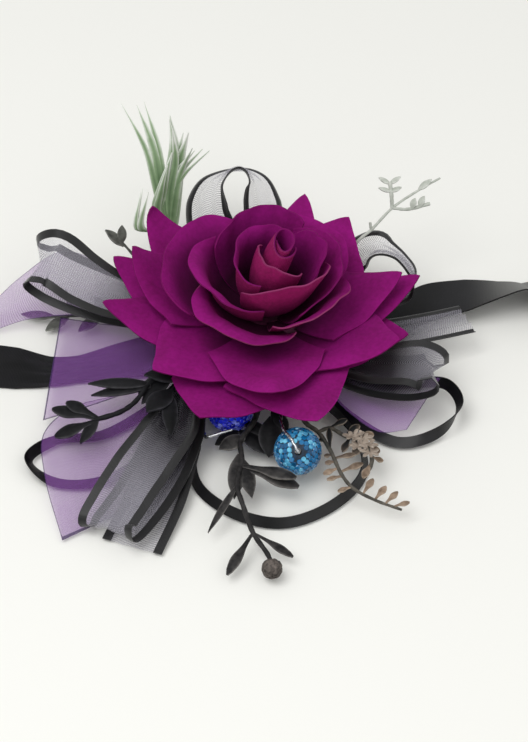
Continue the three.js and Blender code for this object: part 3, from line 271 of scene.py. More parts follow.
def makeStudio():
    angle = math.radians(view["elevation"])
    back = Vector((0, -math.cos(angle), math.sin(angle))) * view["distance"]
    camera = bpy.data.objects.new("camera", bpy.data.cameras.new("camera"))
    camera.data.lens = view["lens"]
    camera.data.clip_start = 0.01
    camera.location = Vector(view["aim"]) + back
    camera.rotation_euler = (math.radians(90) - angle, 0, 0)
    scene.collection.objects.link(camera)
    scene.camera = camera
    for name, shown in lamps.items():
        lamp = bpy.data.objects.new(name, bpy.data.lights.new(name, "AREA"))
        lamp.data.energy = shown["power"]
        lamp.data.size = shown["size"]
        lamp.location = shown["place"]
        lamp.rotation_euler = (-Vector(shown["place"])).to_track_quat("-Z", "Y").to_euler()
        scene.collection.objects.link(lamp)
    world = bpy.data.worlds.new("studio")
    world.use_nodes = True
    background = world.node_tree.nodes["Background"]
    setInputs(world.node_tree, background, {"Color": "#ffffff", "Strength": studio["sky"]})
    scene.world = world
    scene.view_settings.view_transform = "Standard"
    paint = bpy.data.materials.new("floor_paint")
    paint.use_nodes = True
    shader = {"Roughness": 0.8, "Specular IOR Level": 0.2, "Base Color": studio["floor"]}
    mesh = bpy.data.meshes.new("floor")
    reach = studio["reach"]
    corners = [(-reach, -reach, 0), (reach, -reach, 0), (reach, reach, 0), (-reach, reach, 0)]
    mesh.from_pydata(corners, [], [(0, 1, 2, 3)])
    mesh.materials.append(finishMaterial(paint, shader))
    floor = bpy.data.objects.new("floor", mesh)
    scene.collection.objects.link(floor)


makeStudio()
print("studio made")


# Black satin ribbon: warp-faced, so it shines across its length, with a fine rib
satin = {"colour": "#030304", "light": "#0f0f13", "rib": 0.35, "roughness": 0.28, "gloss": 0.4}
satinSheen = {"stretch": 0.55, "drift": 120, "stops": (0.3, 0.75), "relief": 0.25, "depth": 0.00008}


def makeSatin(name, shown):
    material, add, place = startMaterial(name)
    threads = threadWaves(add, clothCoords(add)[1], shown["rib"])
    drift = add("TexNoise", {"Vector": place, "Scale": satinSheen["drift"], "Detail": 4.0})
    stops = tuple(zip(satinSheen["stops"], (shown["colour"], shown["light"])))
    shader = {
        "Roughness": shown["roughness"],
        "Anisotropic": satinSheen["stretch"],
        "Specular IOR Level": shown["gloss"],
        "Base Color": add("ValToRGB", (drift,), stops=stops),
    }
    relief = weighted(add, threads, (drift, 1.0))
    return finishMaterial(material, shader, relief, satinSheen["relief"], satinSheen["depth"])


satinBlack = makeSatin("black_satin", satin)

# Narrow satin ribbon: three open loops tied under the rose. Each row repeats the frame's route:
# [x, y, height over the knot, width direction x, y, z, width share], the first three in thousandths.
narrow = {"width": 0.003, "thick": 0.0003, "level": 0.0072, "steps": 150, "columns": 5}
narrowLoops = {
    "left": [
        [-45, -12, 0, 0, 1, 0, 1], [-130, -75, -6, -0.3, 1, 0.1, 1], [-270, -185, -50, -0.5, 0.85, 0.1, 1],
        [-420, -300, -57, -0.3, 1, 0, 1], [-540, -320, -56, 0.2, 1, 0, 1],
        [-605, -400, -43, -0.6, -0.1, 0.8, 1], [-540, -465, -56, -0.2, -1, 0, 1],
        [-420, -465, -56, 0.3, -1, 0, 1], [-290, -365, -56, 0.7, -0.8, 0, 1],
        [-140, -170, -30, 0.8, -0.5, 0, 1], [-75, -85, -4, 0.8, -0.6, 0, 1], [-33, -34, 0, 0.8, -0.6, 0, 1],
    ],
    "front": [
        [-12, -45, 2, 1, 0, 0, 1], [-30, -85, -2, 1, -0.2, 0, 1], [-85, -160, -30, 0.9, -0.4, 0.1, 1],
        [-165, -245, -48, 0.8, -0.3, 0.2, 1], [-185, -370, -54, 0.6, -0.2, 0.6, 1],
        [-165, -490, -52, 0.5, 0.3, 0.8, 1], [-70, -580, -52, 0.2, 0.5, 0.8, 1],
        [50, -610, -52, 0, 0.5, 0.8, 1], [175, -550, -52, -0.2, 0.5, 0.8, 1],
        [255, -440, -50, -0.4, 0.3, 0.8, 1], [240, -320, -44, -0.7, -0.2, 0.6, 1],
        [130, -180, -18, -0.8, -0.6, 0.1, 1], [55, -95, -2, -0.85, -0.5, 0, 1],
        [20, -40, 2, -0.9, -0.4, 0, 1],
    ],
    "right": [
        [45, -10, 2, 0, 1, 0, 1], [90, -35, 0, 0, 1, 0.1, 1], [150, -70, -12, 0, 1, 0.2, 1],
        [280, -140, -34, 0, 1, 0.3, 1], [400, -135, -30, 0, 1, 0.3, 1], [480, -160, -12, 0.5, 0.5, 0.7, 1],
        [510, -230, -17, 0.5, 0.2, 0.8, 1], [460, -300, -40, 0.3, 0.5, 0.8, 1],
        [350, -330, -54, 0.1, 0.8, 0.4, 1], [220, -240, -46, 0.5, 0.8, 0.1, 1],
        [140, -150, -22, 0.7, 0.7, 0, 1], [75, -80, -3, 0.7, 0.7, 0, 1], [35, -35, 2, 0.7, 0.7, 0, 1],
    ],
}
# where the waves of a drawn-in ribbon start, in how far they grow, in metres, and their least share
drawIn = {"from": 0.006, "run": 0.012, "least": 0.2}


def ribbonRows(shares, ribbon, widthOf, waves=0.0):
    places = np.array(shares, float)
    steps, full = ribbon["steps"], ribbon["width"]
    line = curvePoints(places[:, :3] / 1000 * arrangement + [0, 0, ribbon["level"]], steps)
    along = np.linspace(0, len(places) - 1, steps)
    blend = np.stack([np.interp(along, range(len(places)), places[:, k]) for k in range(3, 7)], axis=1)
    tangent = unit(np.gradient(line, axis=0))
    across = unit(blend[:, :3] - tangent * np.sum(blend[:, :3] * tangent, axis=1, keepdims=True))
    normal = np.cross(tangent, across)
    width = widthOf(blend[:, 3])
    sides = np.linspace(-1, 1, ribbon["columns"])
    rows = line[:, None] + across[:, None] * (sides[None, :, None] * width[:, None, None] / 2)
    opened = (np.linalg.norm(line[:, :2], axis=1) - drawIn["from"]) / drawIn["run"]
    drawnIn = np.sqrt(1 - np.clip(width / full, 0, 1) ** 2) * np.clip(opened, drawIn["least"], 1)
    pleat = waves * drawnIn[:, None] * np.sin(3 * math.pi * sides)[None]
    return rows + normal[:, None] * pleat[..., None], line


def makeNarrowLoops():
    for name, shares in narrowLoops.items():
        rows, line = ribbonRows(shares, narrow, lambda share: np.full(len(share), narrow["width"]))
        sheet = sheetShape(rows, narrow["thick"])
        bow = makePiece("narrow_loop_" + name, [sheet], [satinBlack], ["narrow_ribbon_bow"])
        print("narrow loop", name, round(lengthOf(line), 4))


makeNarrowLoops()
print("narrow ribbon made")


# Sheer black ribbon: a gauze middle with cross threads between two satin edges. It reads as smoke grey, and
# darker towards the knot, where it is gathered. Its black threads are painted pale grey, a painted sheen.
sheer = {
    "width": 0.016, "pinch": 0.006, "thick": 0.00022, "level": 0.0108, "edge": 2.3, "pitch": 0.62,
    "twill": 0.5, "openThread": 0.35, "gauze": "#b0adb8", "gathered": "#2a282e", "gatherCover": 0.5,
    "gatherPlace": (0, -0.015, 0), "gatherEnds": (0.036, 0.056), "band": "#060608", "gauzeCover": 0.1,
    "threadCover": 0.26, "pleat": 0.0009, "steps": 110, "columns": 37,
}
# rows as for the narrow ribbon
sheerLoops = {
    "front": [
        [-25, -30, 5, 0.85, -0.5, 0, 0], [-90, -120, 6, 0.85, -0.5, 0, 0.1],
        [-200, -235, 4, 0.9, -0.42, 0, 0.3], [-240, -350, -6, 0.92, -0.4, 0, 0.9],
        [-307, -475, -18, 0.92, -0.4, 0, 1], [-362, -585, -30, 0.92, -0.4, 0.05, 1],
        [-392, -655, -44, 0.88, -0.46, 0.15, 1], [-379, -655, -66, 0.88, -0.46, 0.1, 0.95],
        [-325, -580, -61, 0.9, -0.42, 0.05, 1], [-268, -465, -50, 0.9, -0.42, 0, 1],
        [-225, -340, -30, 0.92, -0.4, 0, 0.9], [-190, -230, -14, 0.9, -0.42, 0, 0.3],
        [-85, -115, -4, 0.85, -0.5, 0, 0.1], [-25, -30, -3, 0.85, -0.5, 0, 0],
    ],
    "tail": [
        [-22, -30, -5, 0.85, -0.5, 0, 0], [-60, -80, -6, 0.85, -0.5, 0, 0],
        [-145, -170, -20, 0.88, -0.45, 0, 0.1], [-205, -245, -34, 0.9, -0.42, 0, 0.3],
        [-235, -370, -55, 0.92, -0.4, 0, 0.9], [-275, -530, -78, 0.92, -0.4, 0, 1],
        [-330, -680, -98, 0.92, -0.4, 0, 1],
    ],
    "left": [
        [-30, 10, -4, 0, 1, 0, 0], [-110, 42, -6, 0, 1, 0.05, 0.4], [-200, 65, -6, 0.1, 1, 0.1, 0.8],
        [-330, 85, 6, 0.2, 1, 0.15, 1], [-460, 115, 30, 0.25, 0.9, 0.45, 1],
        [-565, 155, 55, 0.2, 0.8, 0.6, 1], [-600, 168, 82, 0.1, 0.8, 0.6, 1],
        [-565, 160, 108, 0.2, 0.8, 0.6, 1], [-480, 118, 70, 0.25, 0.9, 0.35, 1],
        [-390, 92, 34, 0.2, 1, 0.1, 1], [-260, 75, 18, 0.1, 1, 0.05, 0.9], [-130, 45, 7, 0, 1, 0, 0.5],
        [-30, 10, 4, 0, 1, 0, 0],
    ],
    "back": [
        [-20, 30, -4, 1, 0.2, 0, 0], [-60, 120, -4, 1, 0.4, 0, 0.3], [-115, 280, -2, 0.9, 0.3, 0, 0.6],
        [-150, 400, 8, 0.85, -0.3, 0.3, 0.8], [-157, 450, 50, 0.8, -0.45, 0.45, 0.85],
        [-135, 488, 92, 0.55, -0.6, 0.6, 0.8], [-70, 512, 120, 0, -0.7, 0.7, 0.75],
        [-22, 495, 95, -0.45, -0.6, 0.6, 0.75], [-5, 452, 55, -0.75, -0.45, 0.45, 0.75],
        [0, 400, 18, -0.85, -0.3, 0.3, 0.6], [8, 270, 8, -1, -0.1, 0, 0.5], [12, 120, 6, -1, 0, 0, 0.2],
        [8, 30, 4, -1, 0, 0, 0],
    ],
    "rightBack": [
        [25, 20, -4, -0.7, 0.7, 0, 0], [100, 100, -4, -0.7, 0.7, 0, 0.3], [180, 195, 0, -0.6, 0.8, 0, 0.5],
        [255, 265, 24, -0.4, 0.9, 0, 0.6], [315, 240, 70, -0.18, 0.9, -0.35, 0.6],
        [370, 205, 68, 0.05, 0.85, -0.5, 0.6], [400, 170, 35, 0.1, 0.85, -0.4, 0.55],
        [375, 145, 6, 0, 1, -0.1, 0.5], [280, 120, 4, -0.2, 1, 0, 0.5], [180, 90, 6, -0.4, 0.9, 0, 0.4],
        [90, 55, 6, -0.6, 0.8, 0, 0.3], [25, 16, 4, -0.7, 0.7, 0, 0],
    ],
    "right": [
        [30, 0, -4, 0, 1, 0, 0], [80, 0, -4, 0, 1, 0, 0.1], [200, 2, -14, 0, 1, 0, 0.5],
        [320, 10, -28, -0.15, 1, -0.1, 0.6], [440, 45, -36, -0.25, 1, -0.15, 0.65],
        [545, 80, -40, -0.3, 1, -0.15, 0.65],
    ],
    "rightFront": [
        [25, -15, -4, 0.5, 0.85, 0, 0], [90, -60, -4, 0.5, 0.85, 0, 0.3], [190, -125, 0, 0.5, 0.85, 0, 0.8],
        [300, -175, 0, 0.45, 0.9, 0, 1], [395, -190, 8, 0.35, 0.93, 0.1, 1],
        [440, -185, 24, 0.35, 0.93, 0.15, 1], [400, -170, 40, 0.35, 0.93, 0.1, 1],
        [300, -150, 22, 0.45, 0.9, 0, 1], [190, -105, 12, 0.5, 0.85, 0, 0.8],
        [90, -55, 6, 0.5, 0.85, 0, 0.3], [25, -15, 4, 0.5, 0.85, 0, 0],
    ],
}


def makeGauze(name, shown):
    material, add, place = startMaterial(name)
    across, along = clothCoords(add)
    rim = add("Attribute", out="Fac", attribute_name="tone")
    bandStart = 1 - 2 * shown["edge"] / (shown["width"] * 1000)
    inBand = add("Math GREATER_THAN", (rim, bandStart))
    waves = threadWaves(add, along, shown["pitch"])
    thread = add("Math GREATER_THAN", (waves, shown["openThread"]))
    twill = threadWaves(add, weighted(add, across, (along, 1.0)), shown["twill"])
    away = add("VectorMath DISTANCE", (place, shown["gatherPlace"]), out="Value")
    gathered = add("MapRange", (away, *shown["gatherEnds"], 1.0, 0.0))
    covers = (thread, shown["threadCover"]), (gathered, shown["gatherCover"])
    cover = weighted(add, shown["gauzeCover"], *covers)
    # painted sheen: the gauze colour is a pale grey for the light that its black threads catch
    cloth = {0: gathered, 6: shown["gauze"], 7: shown["gathered"]}
    colour = add("Mix", cloth, out=2, data_type="RGBA")
    shader = {
        "Roughness": 0.32,
        "Sheen Weight": 0.15,
        "Anisotropic": 0.4,
        "Base Color": add("Mix", {0: inBand, 6: colour, 7: shown["band"]}, out=2, data_type="RGBA"),
        "Alpha": add("Math MAXIMUM", (cover, inBand)),
    }
    relief = add("Math MULTIPLY", (twill, inBand))
    return finishMaterial(material, shader, relief, 0.3, 0.0001)


gauzeBlack = makeGauze("sheer_black_gauze", sheer)


def makeSheerLoops():
    def widthOf(share):
        return sheer["pinch"] + (sheer["width"] - sheer["pinch"]) * share

    for name, shares in sheerLoops.items():
        rows, line = ribbonRows(shares, sheer, widthOf, sheer["pleat"])
        edgeTone = np.abs(np.linspace(-1, 1, sheer["columns"]))
        sheet = sheetShape(rows, sheer["thick"], tone=edgeTone)
        bow = makePiece("sheer_" + name, [sheet], [gauzeBlack], ["sheer_ribbon_bow"])
        print("sheer", name, round(lengthOf(line), 4))


makeSheerLoops()
print("sheer ribbon made")


# Purple organza: one thin plain weave that darkens where it lies double, with a narrow rolled hem
organza = {
    "thick": 0.0002, "fold": 0.0012, "pleats": 14, "pleatShare": 0.22, "level": 0.0089,
    "colour": "#9a61b4", "hem": "#4a2f66", "hemFrom": 0.55, "hemCover": 0.35, "cover": 0.25,
    "threadCover": 0.06, "cloudCover": 0.12, "pitch": 0.55, "steps": 70, "columns": 61,
}
# the two edges of each panel, as [x, y, height] in thousandths
organzaPanels = {
    "leftUpper": [[
        [-20, 30, 4], [-100, 80, 2], [-220, 130, 6], [-380, 200, 26], [-540, 250, 70], [-660, 200, 20],
        [-760, 140, -55],
    ], [
        [-35, 12, 2], [-100, 30, 0], [-200, 50, -2], [-340, 75, -12], [-500, 100, -26], [-640, 105, -48],
        [-740, 85, -74],
    ]],
    "left": [[
        [-35, 5, -1], [-100, 5, -6], [-200, 20, -16], [-320, 50, -30], [-450, 85, -42], [-550, 115, -50],
    ], [
        [-35, -15, -1], [-100, -50, -8], [-200, -100, -19], [-320, -165, -34], [-450, -220, -46],
        [-575, -265, -55],
    ]],
    "frontLeft": [[
        [-35, -18, -5], [-100, -60, -12], [-220, -130, -28], [-360, -180, -42], [-500, -220, -54],
        [-570, -310, -56], [-560, -460, -56], [-505, -660, -78],
    ], [
        [-22, -30, -5], [-60, -85, -12], [-120, -160, -28], [-190, -250, -42], [-250, -330, -54],
        [-290, -400, -60], [-320, -470, -66], [-345, -560, -75],
    ]],
    "right": [[
        [35, 0, 2], [100, -30, 0], [200, -80, -6], [320, -125, -8], [420, -155, 0], [460, -175, 10],
    ], [
        [25, -25, -1], [80, -90, -3], [150, -170, -22], [230, -260, -43], [300, -310, -53],
        [370, -300, -55],
    ]],
    "back": [[
        [10, 35, 2], [12, 100, -2], [0, 200, -6], [-10, 300, -4], [-30, 380, 4], [-35, 450, 12],
    ], [
        [-15, 35, 0], [-45, 100, -4], [-100, 200, -10], [-140, 280, -12], [-170, 350, -8], [-190, 410, 0],
    ]],
}


def makeOrganzaCloth(name, shown):
    material, add, place = startMaterial(name)
    across, along = clothCoords(add)
    threads = threadWaves(add, weighted(add, across, (along, 1.0)), shown["pitch"])
    cloudy = add("TexNoise", {"Vector": place, "Scale": 60, "Detail": 2.0})
    rim = add("Attribute", out="Fac", attribute_name="tone")
    hem = add("Math GREATER_THAN", (rim, shown["hemFrom"]))
    covers = (threads, shown["threadCover"]), (cloudy, shown["cloudCover"]), (hem, shown["hemCover"])
    colours = {0: hem, 6: shown["colour"], 7: shown["hem"]}
    shader = {
        "Roughness": 0.5,
        "Specular IOR Level": 0.2,
        "Base Color": add("Mix", colours, out=2, data_type="RGBA"),
        "Alpha": weighted(add, shown["cover"] - shown["cloudCover"] / 2, *covers, clamp=True),
    }
    return finishMaterial(material, shader, threads, 0.15, 0.0001)


organzaPurple = makeOrganzaCloth("purple_organza", organza)


def makeOrganza():
    steps, columns = organza["steps"], organza["columns"]
    side = np.linspace(0, 1, columns)
    out = np.linspace(0, 1, steps)[:, None]
    for number, (name, edges) in enumerate(organzaPanels.items()):
        places = np.array(edges) / 1000 * arrangement + [0, 0, organza["level"]]
        left, right = (curvePoints(edge, steps) for edge in places)
        rows = left[:, None] * (1 - side[None, :, None]) + right[:, None] * side[None, :, None]
        fold = np.sin(2 * math.pi * side)[None] ** 2 * np.sin(math.pi * out)
        pleats = np.sin(organza["pleats"] * math.pi * side + number)[None] * (0.25 + 0.5 * out * (1 - out))
        rows[..., 2] += organza["fold"] * (fold + organza["pleatShare"] * pleats * (1 - 0.6 * out))
        hem = np.zeros((steps, columns))
        hem[:, [0, -1]] = hem[-1] = 1
        sheet = sheetShape(rows, organza["thick"], tone=hem)
        panel = makePiece("organza_" + name, [sheet], [organzaPurple], ["organza_bow"])
        downward, sideways = np.diff(rows, axis=0), np.diff(rows, axis=1)
        area = np.linalg.norm(np.cross(downward[:, :-1], sideways[:-1]), axis=2).sum()
        width = np.linalg.norm(sideways, axis=2).sum(axis=1).max()
        length = lengthOf(rows[:, columns // 2])
        print("organza", name, round(float(width), 4), round(length, 4), round(float(area), 6))


makeOrganza()
print("organza made")


# Velvet rose. Every petal lies in one surface of a nest that opens from the bud to the widest ring.
rose = {"nest": 0.05, "thick": 0.0004, "lean": 0.006, "level": 0.0136, "steps": 26, "columns": 44}
# the nest's surfaces, each a curve from the hip out to the rim, as four [reach, height] in thousandths
nest = np.array([
    [[44, 200], [90, 280], [100, 440], [64, 600]], [[84, 158], [190, 220], [250, 380], [230, 550]],
    [[124, 116], [260, 140], [330, 280], [345, 460]], [[164, 74], [360, 80], [500, 200], [540, 350]],
    [[204, 32], [420, 30], [640, 140], [750, 240]], [[244, -10], [480, -30], [740, 30], [860, 90]],
]) / 1000
# [name, azimuth, surface, half angle, then shares: length, side length, tip, rim roll, winding out, slant]
petals = [
    ["petal_bud", 75, 0.12, 280, 0.97, 0.93, 0, 0, 0.14, 0],
    ["petal_bud_front", -125, 0.58, 85, 1, 0.8, 0, 0.02, 0.2, 0],
    ["petal_bud_right", 18, 0.88, 45, 1, 0.75, 0, 0.01, -0.22, 0],
    ["petal_bud_left", 166, 0.82, 84, 1, 0.82, 0, 0.05, 0.1, -0.03],
    ["petal_cup_front", -64, 1.34, 66, 1, 0.76, 0, 0.015, 0.1, 0.05],
    ["petal_inner_back", 107, 2.05, 44, 1.1, 0.8, 0, 0.025, -0.08, -0.03],
    ["petal_inner_right", 6, 1.84, 63, 0.98, 0.74, 0, 0.03, -0.1, 0.1],
    ["petal_inner_left", -156, 1.87, 61, 1.02, 0.76, 0, 0.07, -0.33, -0.15],
    ["petal_inner_front_right", -38, 2.2, 47, 0.94, 0.7, 0, 0.04, 0.08, 0.04],
    ["petal_inner_front_left", -120, 2.26, 56, 0.84, 0.78, 0, 0.07, 0.16, -0.08],
    ["petal_middle_left", 153, 3, 50, 1.06, 0.66, 0, 0.04, -0.15, -0.06],
    ["petal_middle_right", 60, 2.8, 44, 0.94, 0.62, 0, 0.04, 0, 0],
    ["petal_outer_front", -88, 3.7, 43, 1.07, 0.42, 0.12, 0.07, 0, 0],
    ["petal_outer_right", 9, 3.75, 42, 0.93, 0.42, 0.08, 0.02, 0, 0],
    ["petal_outer_back", 112, 3.5, 30, 0.78, 0.6, 0, 0, 0, 0],
    ["petal_outer_left", 162, 3.8, 34, 1.14, 0.45, 0.08, 0.01, 0, 0],
    ["petal_outer_front_left", -138, 4.12, 41, 0.85, 0.55, 0.06, 0.04, 0, 0],
    ["petal_outer_front_right", -28, 4.05, 36, 0.97, 0.52, 0.06, 0.02, 0, 0],
    ["petal_outer_back_right", 53, 4.08, 34, 0.9, 0.66, 0.06, 0.01, 0, 0],
    ["petal_rim_back", 75, 4.5, 30, 0.99, 0.45, 0.1, 0, 0, 0],
    ["petal_rim_back_far_left", 138, 4.2, 28, 1.2, 0.42, 0.2, 0, 0, 0],
    ["petal_rim_left", 184, 4.5, 34, 1.02, 0.4, 0.12, 0, 0, 0],
    ["petal_rim_right", 11, 4.5, 32, 0.98, 0.42, 0.1, 0, 0, 0],
    ["petal_rim_front", -73, 4.5, 38, 1.02, 0.52, 0.14, 0.06, 0, 0],
    ["petal_rim_back_left", 155, 4.95, 30, 1.02, 0.45, 0.1, 0, 0, 0],
    ["petal_rim_front_left", -113, 4.95, 38, 0.87, 0.58, 0.03, 0.02, 0, 0],
    ["petal_rim_front_right", -12, 4.95, 36, 0.77, 0.5, 0.04, 0, 0, 0],
]
petalCurve = {
    "rollStart": 0.7, "rollTaper": 4, "budSqueeze": 0.5, "tipBreadth": 0.16, "pointedFall": 1.6,
    "roundFall": 2.4, "nestTop": 0.6, "leanPower": 2.5, "sideCurl": 0.022, "curlStart": 0.72,
    "curlBreadth": 0.3, "curlOut": 0.3, "ripple": 0.00035,
}


def nestPlace(surface, along):
    last = len(nest) - 1
    surface = np.clip(surface, 0, last)
    k = np.clip(np.floor(surface).astype(int), 0, last - 1)
    share = (surface - k)[..., None, None]
    control = nest[k] * (1 - share) + nest[k + 1] * share
    t = along[..., None]
    a, b, c, d = (control[..., i, :] for i in range(4))
    return ((1 - t) ** 3 * a + 3 * (1 - t) ** 2 * t * b + 3 * (1 - t) * t**2 * c + t**3 * d) * rose["nest"]


def petalRows(petal, steps, columns, seed):
    name, azimuth, surface, halfAngle, lengthShare, sideShare, tipShare, rollShare, wind, slant = petal
    curve = petalCurve
    pointed = tipShare > 0
    side = np.linspace(-1, 1, columns + 1)[None, :] * np.ones((steps + 1, 1))
    out = np.linspace(0, 1, steps + 1)[:, None] * np.ones((1, columns + 1))
    tip = tipShare * np.exp(-((side / curve["tipBreadth"]) ** 2))
    fall = 1 - (1 - np.abs(side)) ** curve["pointedFall"] if pointed else np.abs(side) ** curve["roundFall"]
    rim = lengthShare * (1 + tip + slant * side - (1 - sideShare) * fall)
    nested = surface + wind * side
    place = nestPlace(nested, rim * out)
    rolled = np.maximum(0, (out - curve["rollStart"]) / (1 - curve["rollStart"]))
    breadth = (1 - abs(side)) ** 2 if pointed else 1 - side**4
    roll = rollShare * rose["nest"] * breadth * (1 + curve["rollTaper"] * slant * side)
    reach = place[..., 0] + roll * rolled**1.5
    height = place[..., 1] - roll * rolled**2
    if pointed:
        risen = np.maximum(0, (out - curve["curlStart"]) / (1 - curve["curlStart"]))
        beside = 1 - np.exp(-((side / curve["curlBreadth"]) ** 2))
        curl = curve["sideCurl"] * rose["nest"] * risen**2 * beside * (1 - side**4)
        height -= curl
        reach += curve["curlOut"] * curl
    rng = random.Random(seed)
    for turns in (2, 3, 5):
        phase, slope = rng.uniform(0, 6.3), rng.uniform(1, 3)
        wave = np.sin(turns * math.pi * side + phase + slope * out)
        reach += curve["ripple"] / turns**0.5 * out**1.5 * wave
    turn = np.radians(azimuth + halfAngle * side)
    lean = rose["lean"] * np.maximum(0, height / (curve["nestTop"] * rose["nest"])) ** curve["leanPower"]
    squeeze = 1 - curve["budSqueeze"] * np.maximum(0, 1 - nested)
    places = squeeze * reach * np.cos(turn) + lean, reach * np.sin(turn), height + rose["level"]
    return np.stack(places, axis=-1), out


# Cotton velvet: a soft matt pile in front, a dotted woven backing, and cut edges, darker or frayed pale, as
# (lit, deep, edge, weave in millimetres, where along the petal the painted shade at the foot starts and ends
# to fade)
velvetLook = {
    "velvet_pile": ("#8e1473", "#740f59", "#8e1473", 0, (0.05, 0.52)),
    "velvet_backing": ("#921359", "#6e0e41", "#8a3663", 0.52, (0.05, 0.52)),
    # the heart's copies are the same velvet, with the painted shade reaching further up each petal
    "velvet_pile_heart": ("#8e1473", "#740f59", "#8e1473", 0, (0.42, 0.98)),
    "velvet_backing_heart": ("#921359", "#6e0e41", "#8a3663", 0.52, (0.34, 0.86)),
    "velvet_cut_edge": ("#740f59", "#560f43", "#740f59", 0, (0.05, 0.52)),
    "velvet_frayed_edge": ("#8a3663", "#6e2850", "#8a3663", 0, (0.05, 0.52)),
}
# the first colour is a painted shade laid on the foot of each petal
velvetFeel = {
    "foot": "#300723", "sheen": "#a0206f", "pile": 900, "drift": 90, "dotFrom": 0.4, "dotShare": 0.42,
    # the rim share paints a highlight along each petal's rim
    "rimHighlightShare": 0.55, "mottle": (0.6, 0.4),
}
frayed = ("petal_bud_front", "petal_cup", "petal_inner_front")
heart = ("petal_bud", "petal_cup", "petal_inner", "petal_middle")


def makeVelvet(name, lit, deep, edge, weave, fade):
    material, add, place = startMaterial(name)
    pile = add("TexNoise", {"Vector": place, "Scale": velvetFeel["pile"], "Detail": 2.0})
    drift = add("TexNoise", {"Vector": place, "Scale": velvetFeel["drift"], "Detail": 3.0})
    mottled = weighted(add, 0.0, *zip((drift, pile), velvetFeel["mottle"]))
    colour = add("ValToRGB", (mottled,), stops=((0.3, deep), (0.62, lit)))
    height = pile
    if weave:
        across, along = (threadWaves(add, way, weave) for way in clothCoords(add))
        dots = add("Math MULTIPLY", (across, along))
        raised = add("Math GREATER_THAN", (dots, velvetFeel["dotFrom"]))
        raised = add("Math MULTIPLY", (raised, velvetFeel["dotShare"]))
        colour = add("Mix", {0: raised, 6: colour, 7: edge}, out=2, data_type="RGBA")
        height = weighted(add, dots, (pile, 1.0))
    rim = add("Attribute", out="Fac", attribute_name="tone")
    # painted highlight: the last rows at each rim take the edge colour, for the sheen that the pile catches
    # there
    rimHighlight = add("Math GREATER_THAN", (weighted(add, rim, (pile, 0.03)), 1.0))
    rimHighlight = add("Math MULTIPLY", (rimHighlight, velvetFeel["rimHighlightShare"]))
    colour = add("Mix", {0: rimHighlight, 6: colour, 7: edge}, out=2, data_type="RGBA")
    # painted shade: each petal darkens towards its foot, where the petals crowd and shade each other
    stops = tuple(zip(fade, ("#000000", "#ffffff")))
    risen = add("ValToRGB", (weighted(add, rim, (drift, 0.12)),), stops=stops)
    shader = {
        "Roughness": 0.85,
        "Specular IOR Level": 0.1,
        "Sheen Weight": 0.25,
        "Sheen Roughness": 0.4,
        "Sheen Tint": velvetFeel["sheen"],
        "Base Color": add("Mix", {0: risen, 6: velvetFeel["foot"], 7: colour}, out=2, data_type="RGBA"),
    }
    return finishMaterial(material, shader, height, 0.35, 0.00012)


velvets = {name: makeVelvet(name, *look) for name, look in velvetLook.items()}


def makeRose():
    for number, petal in enumerate(petals):
        name, halfAngle = petal[0], petal[3]
        columns = rose["columns"] * (3 if halfAngle > 180 else 1)
        rows, out = petalRows(petal, rose["steps"], columns, number + 1)
        # the heart's petals take the velvet copies with more painted shade
        depth = "_heart" if name.startswith(heart) else ""
        edge = "velvet_frayed_edge" if name.startswith(frayed) else "velvet_cut_edge"
        materials = [velvets[kind] for kind in ("velvet_pile" + depth, "velvet_backing" + depth, edge)]
        sheet = sheetShape(rows, rose["thick"], (0, 1, 2), tone=out)
        makePiece(name + "_velvet", [sheet], materials, [name])


makeRose()
print("rose made")


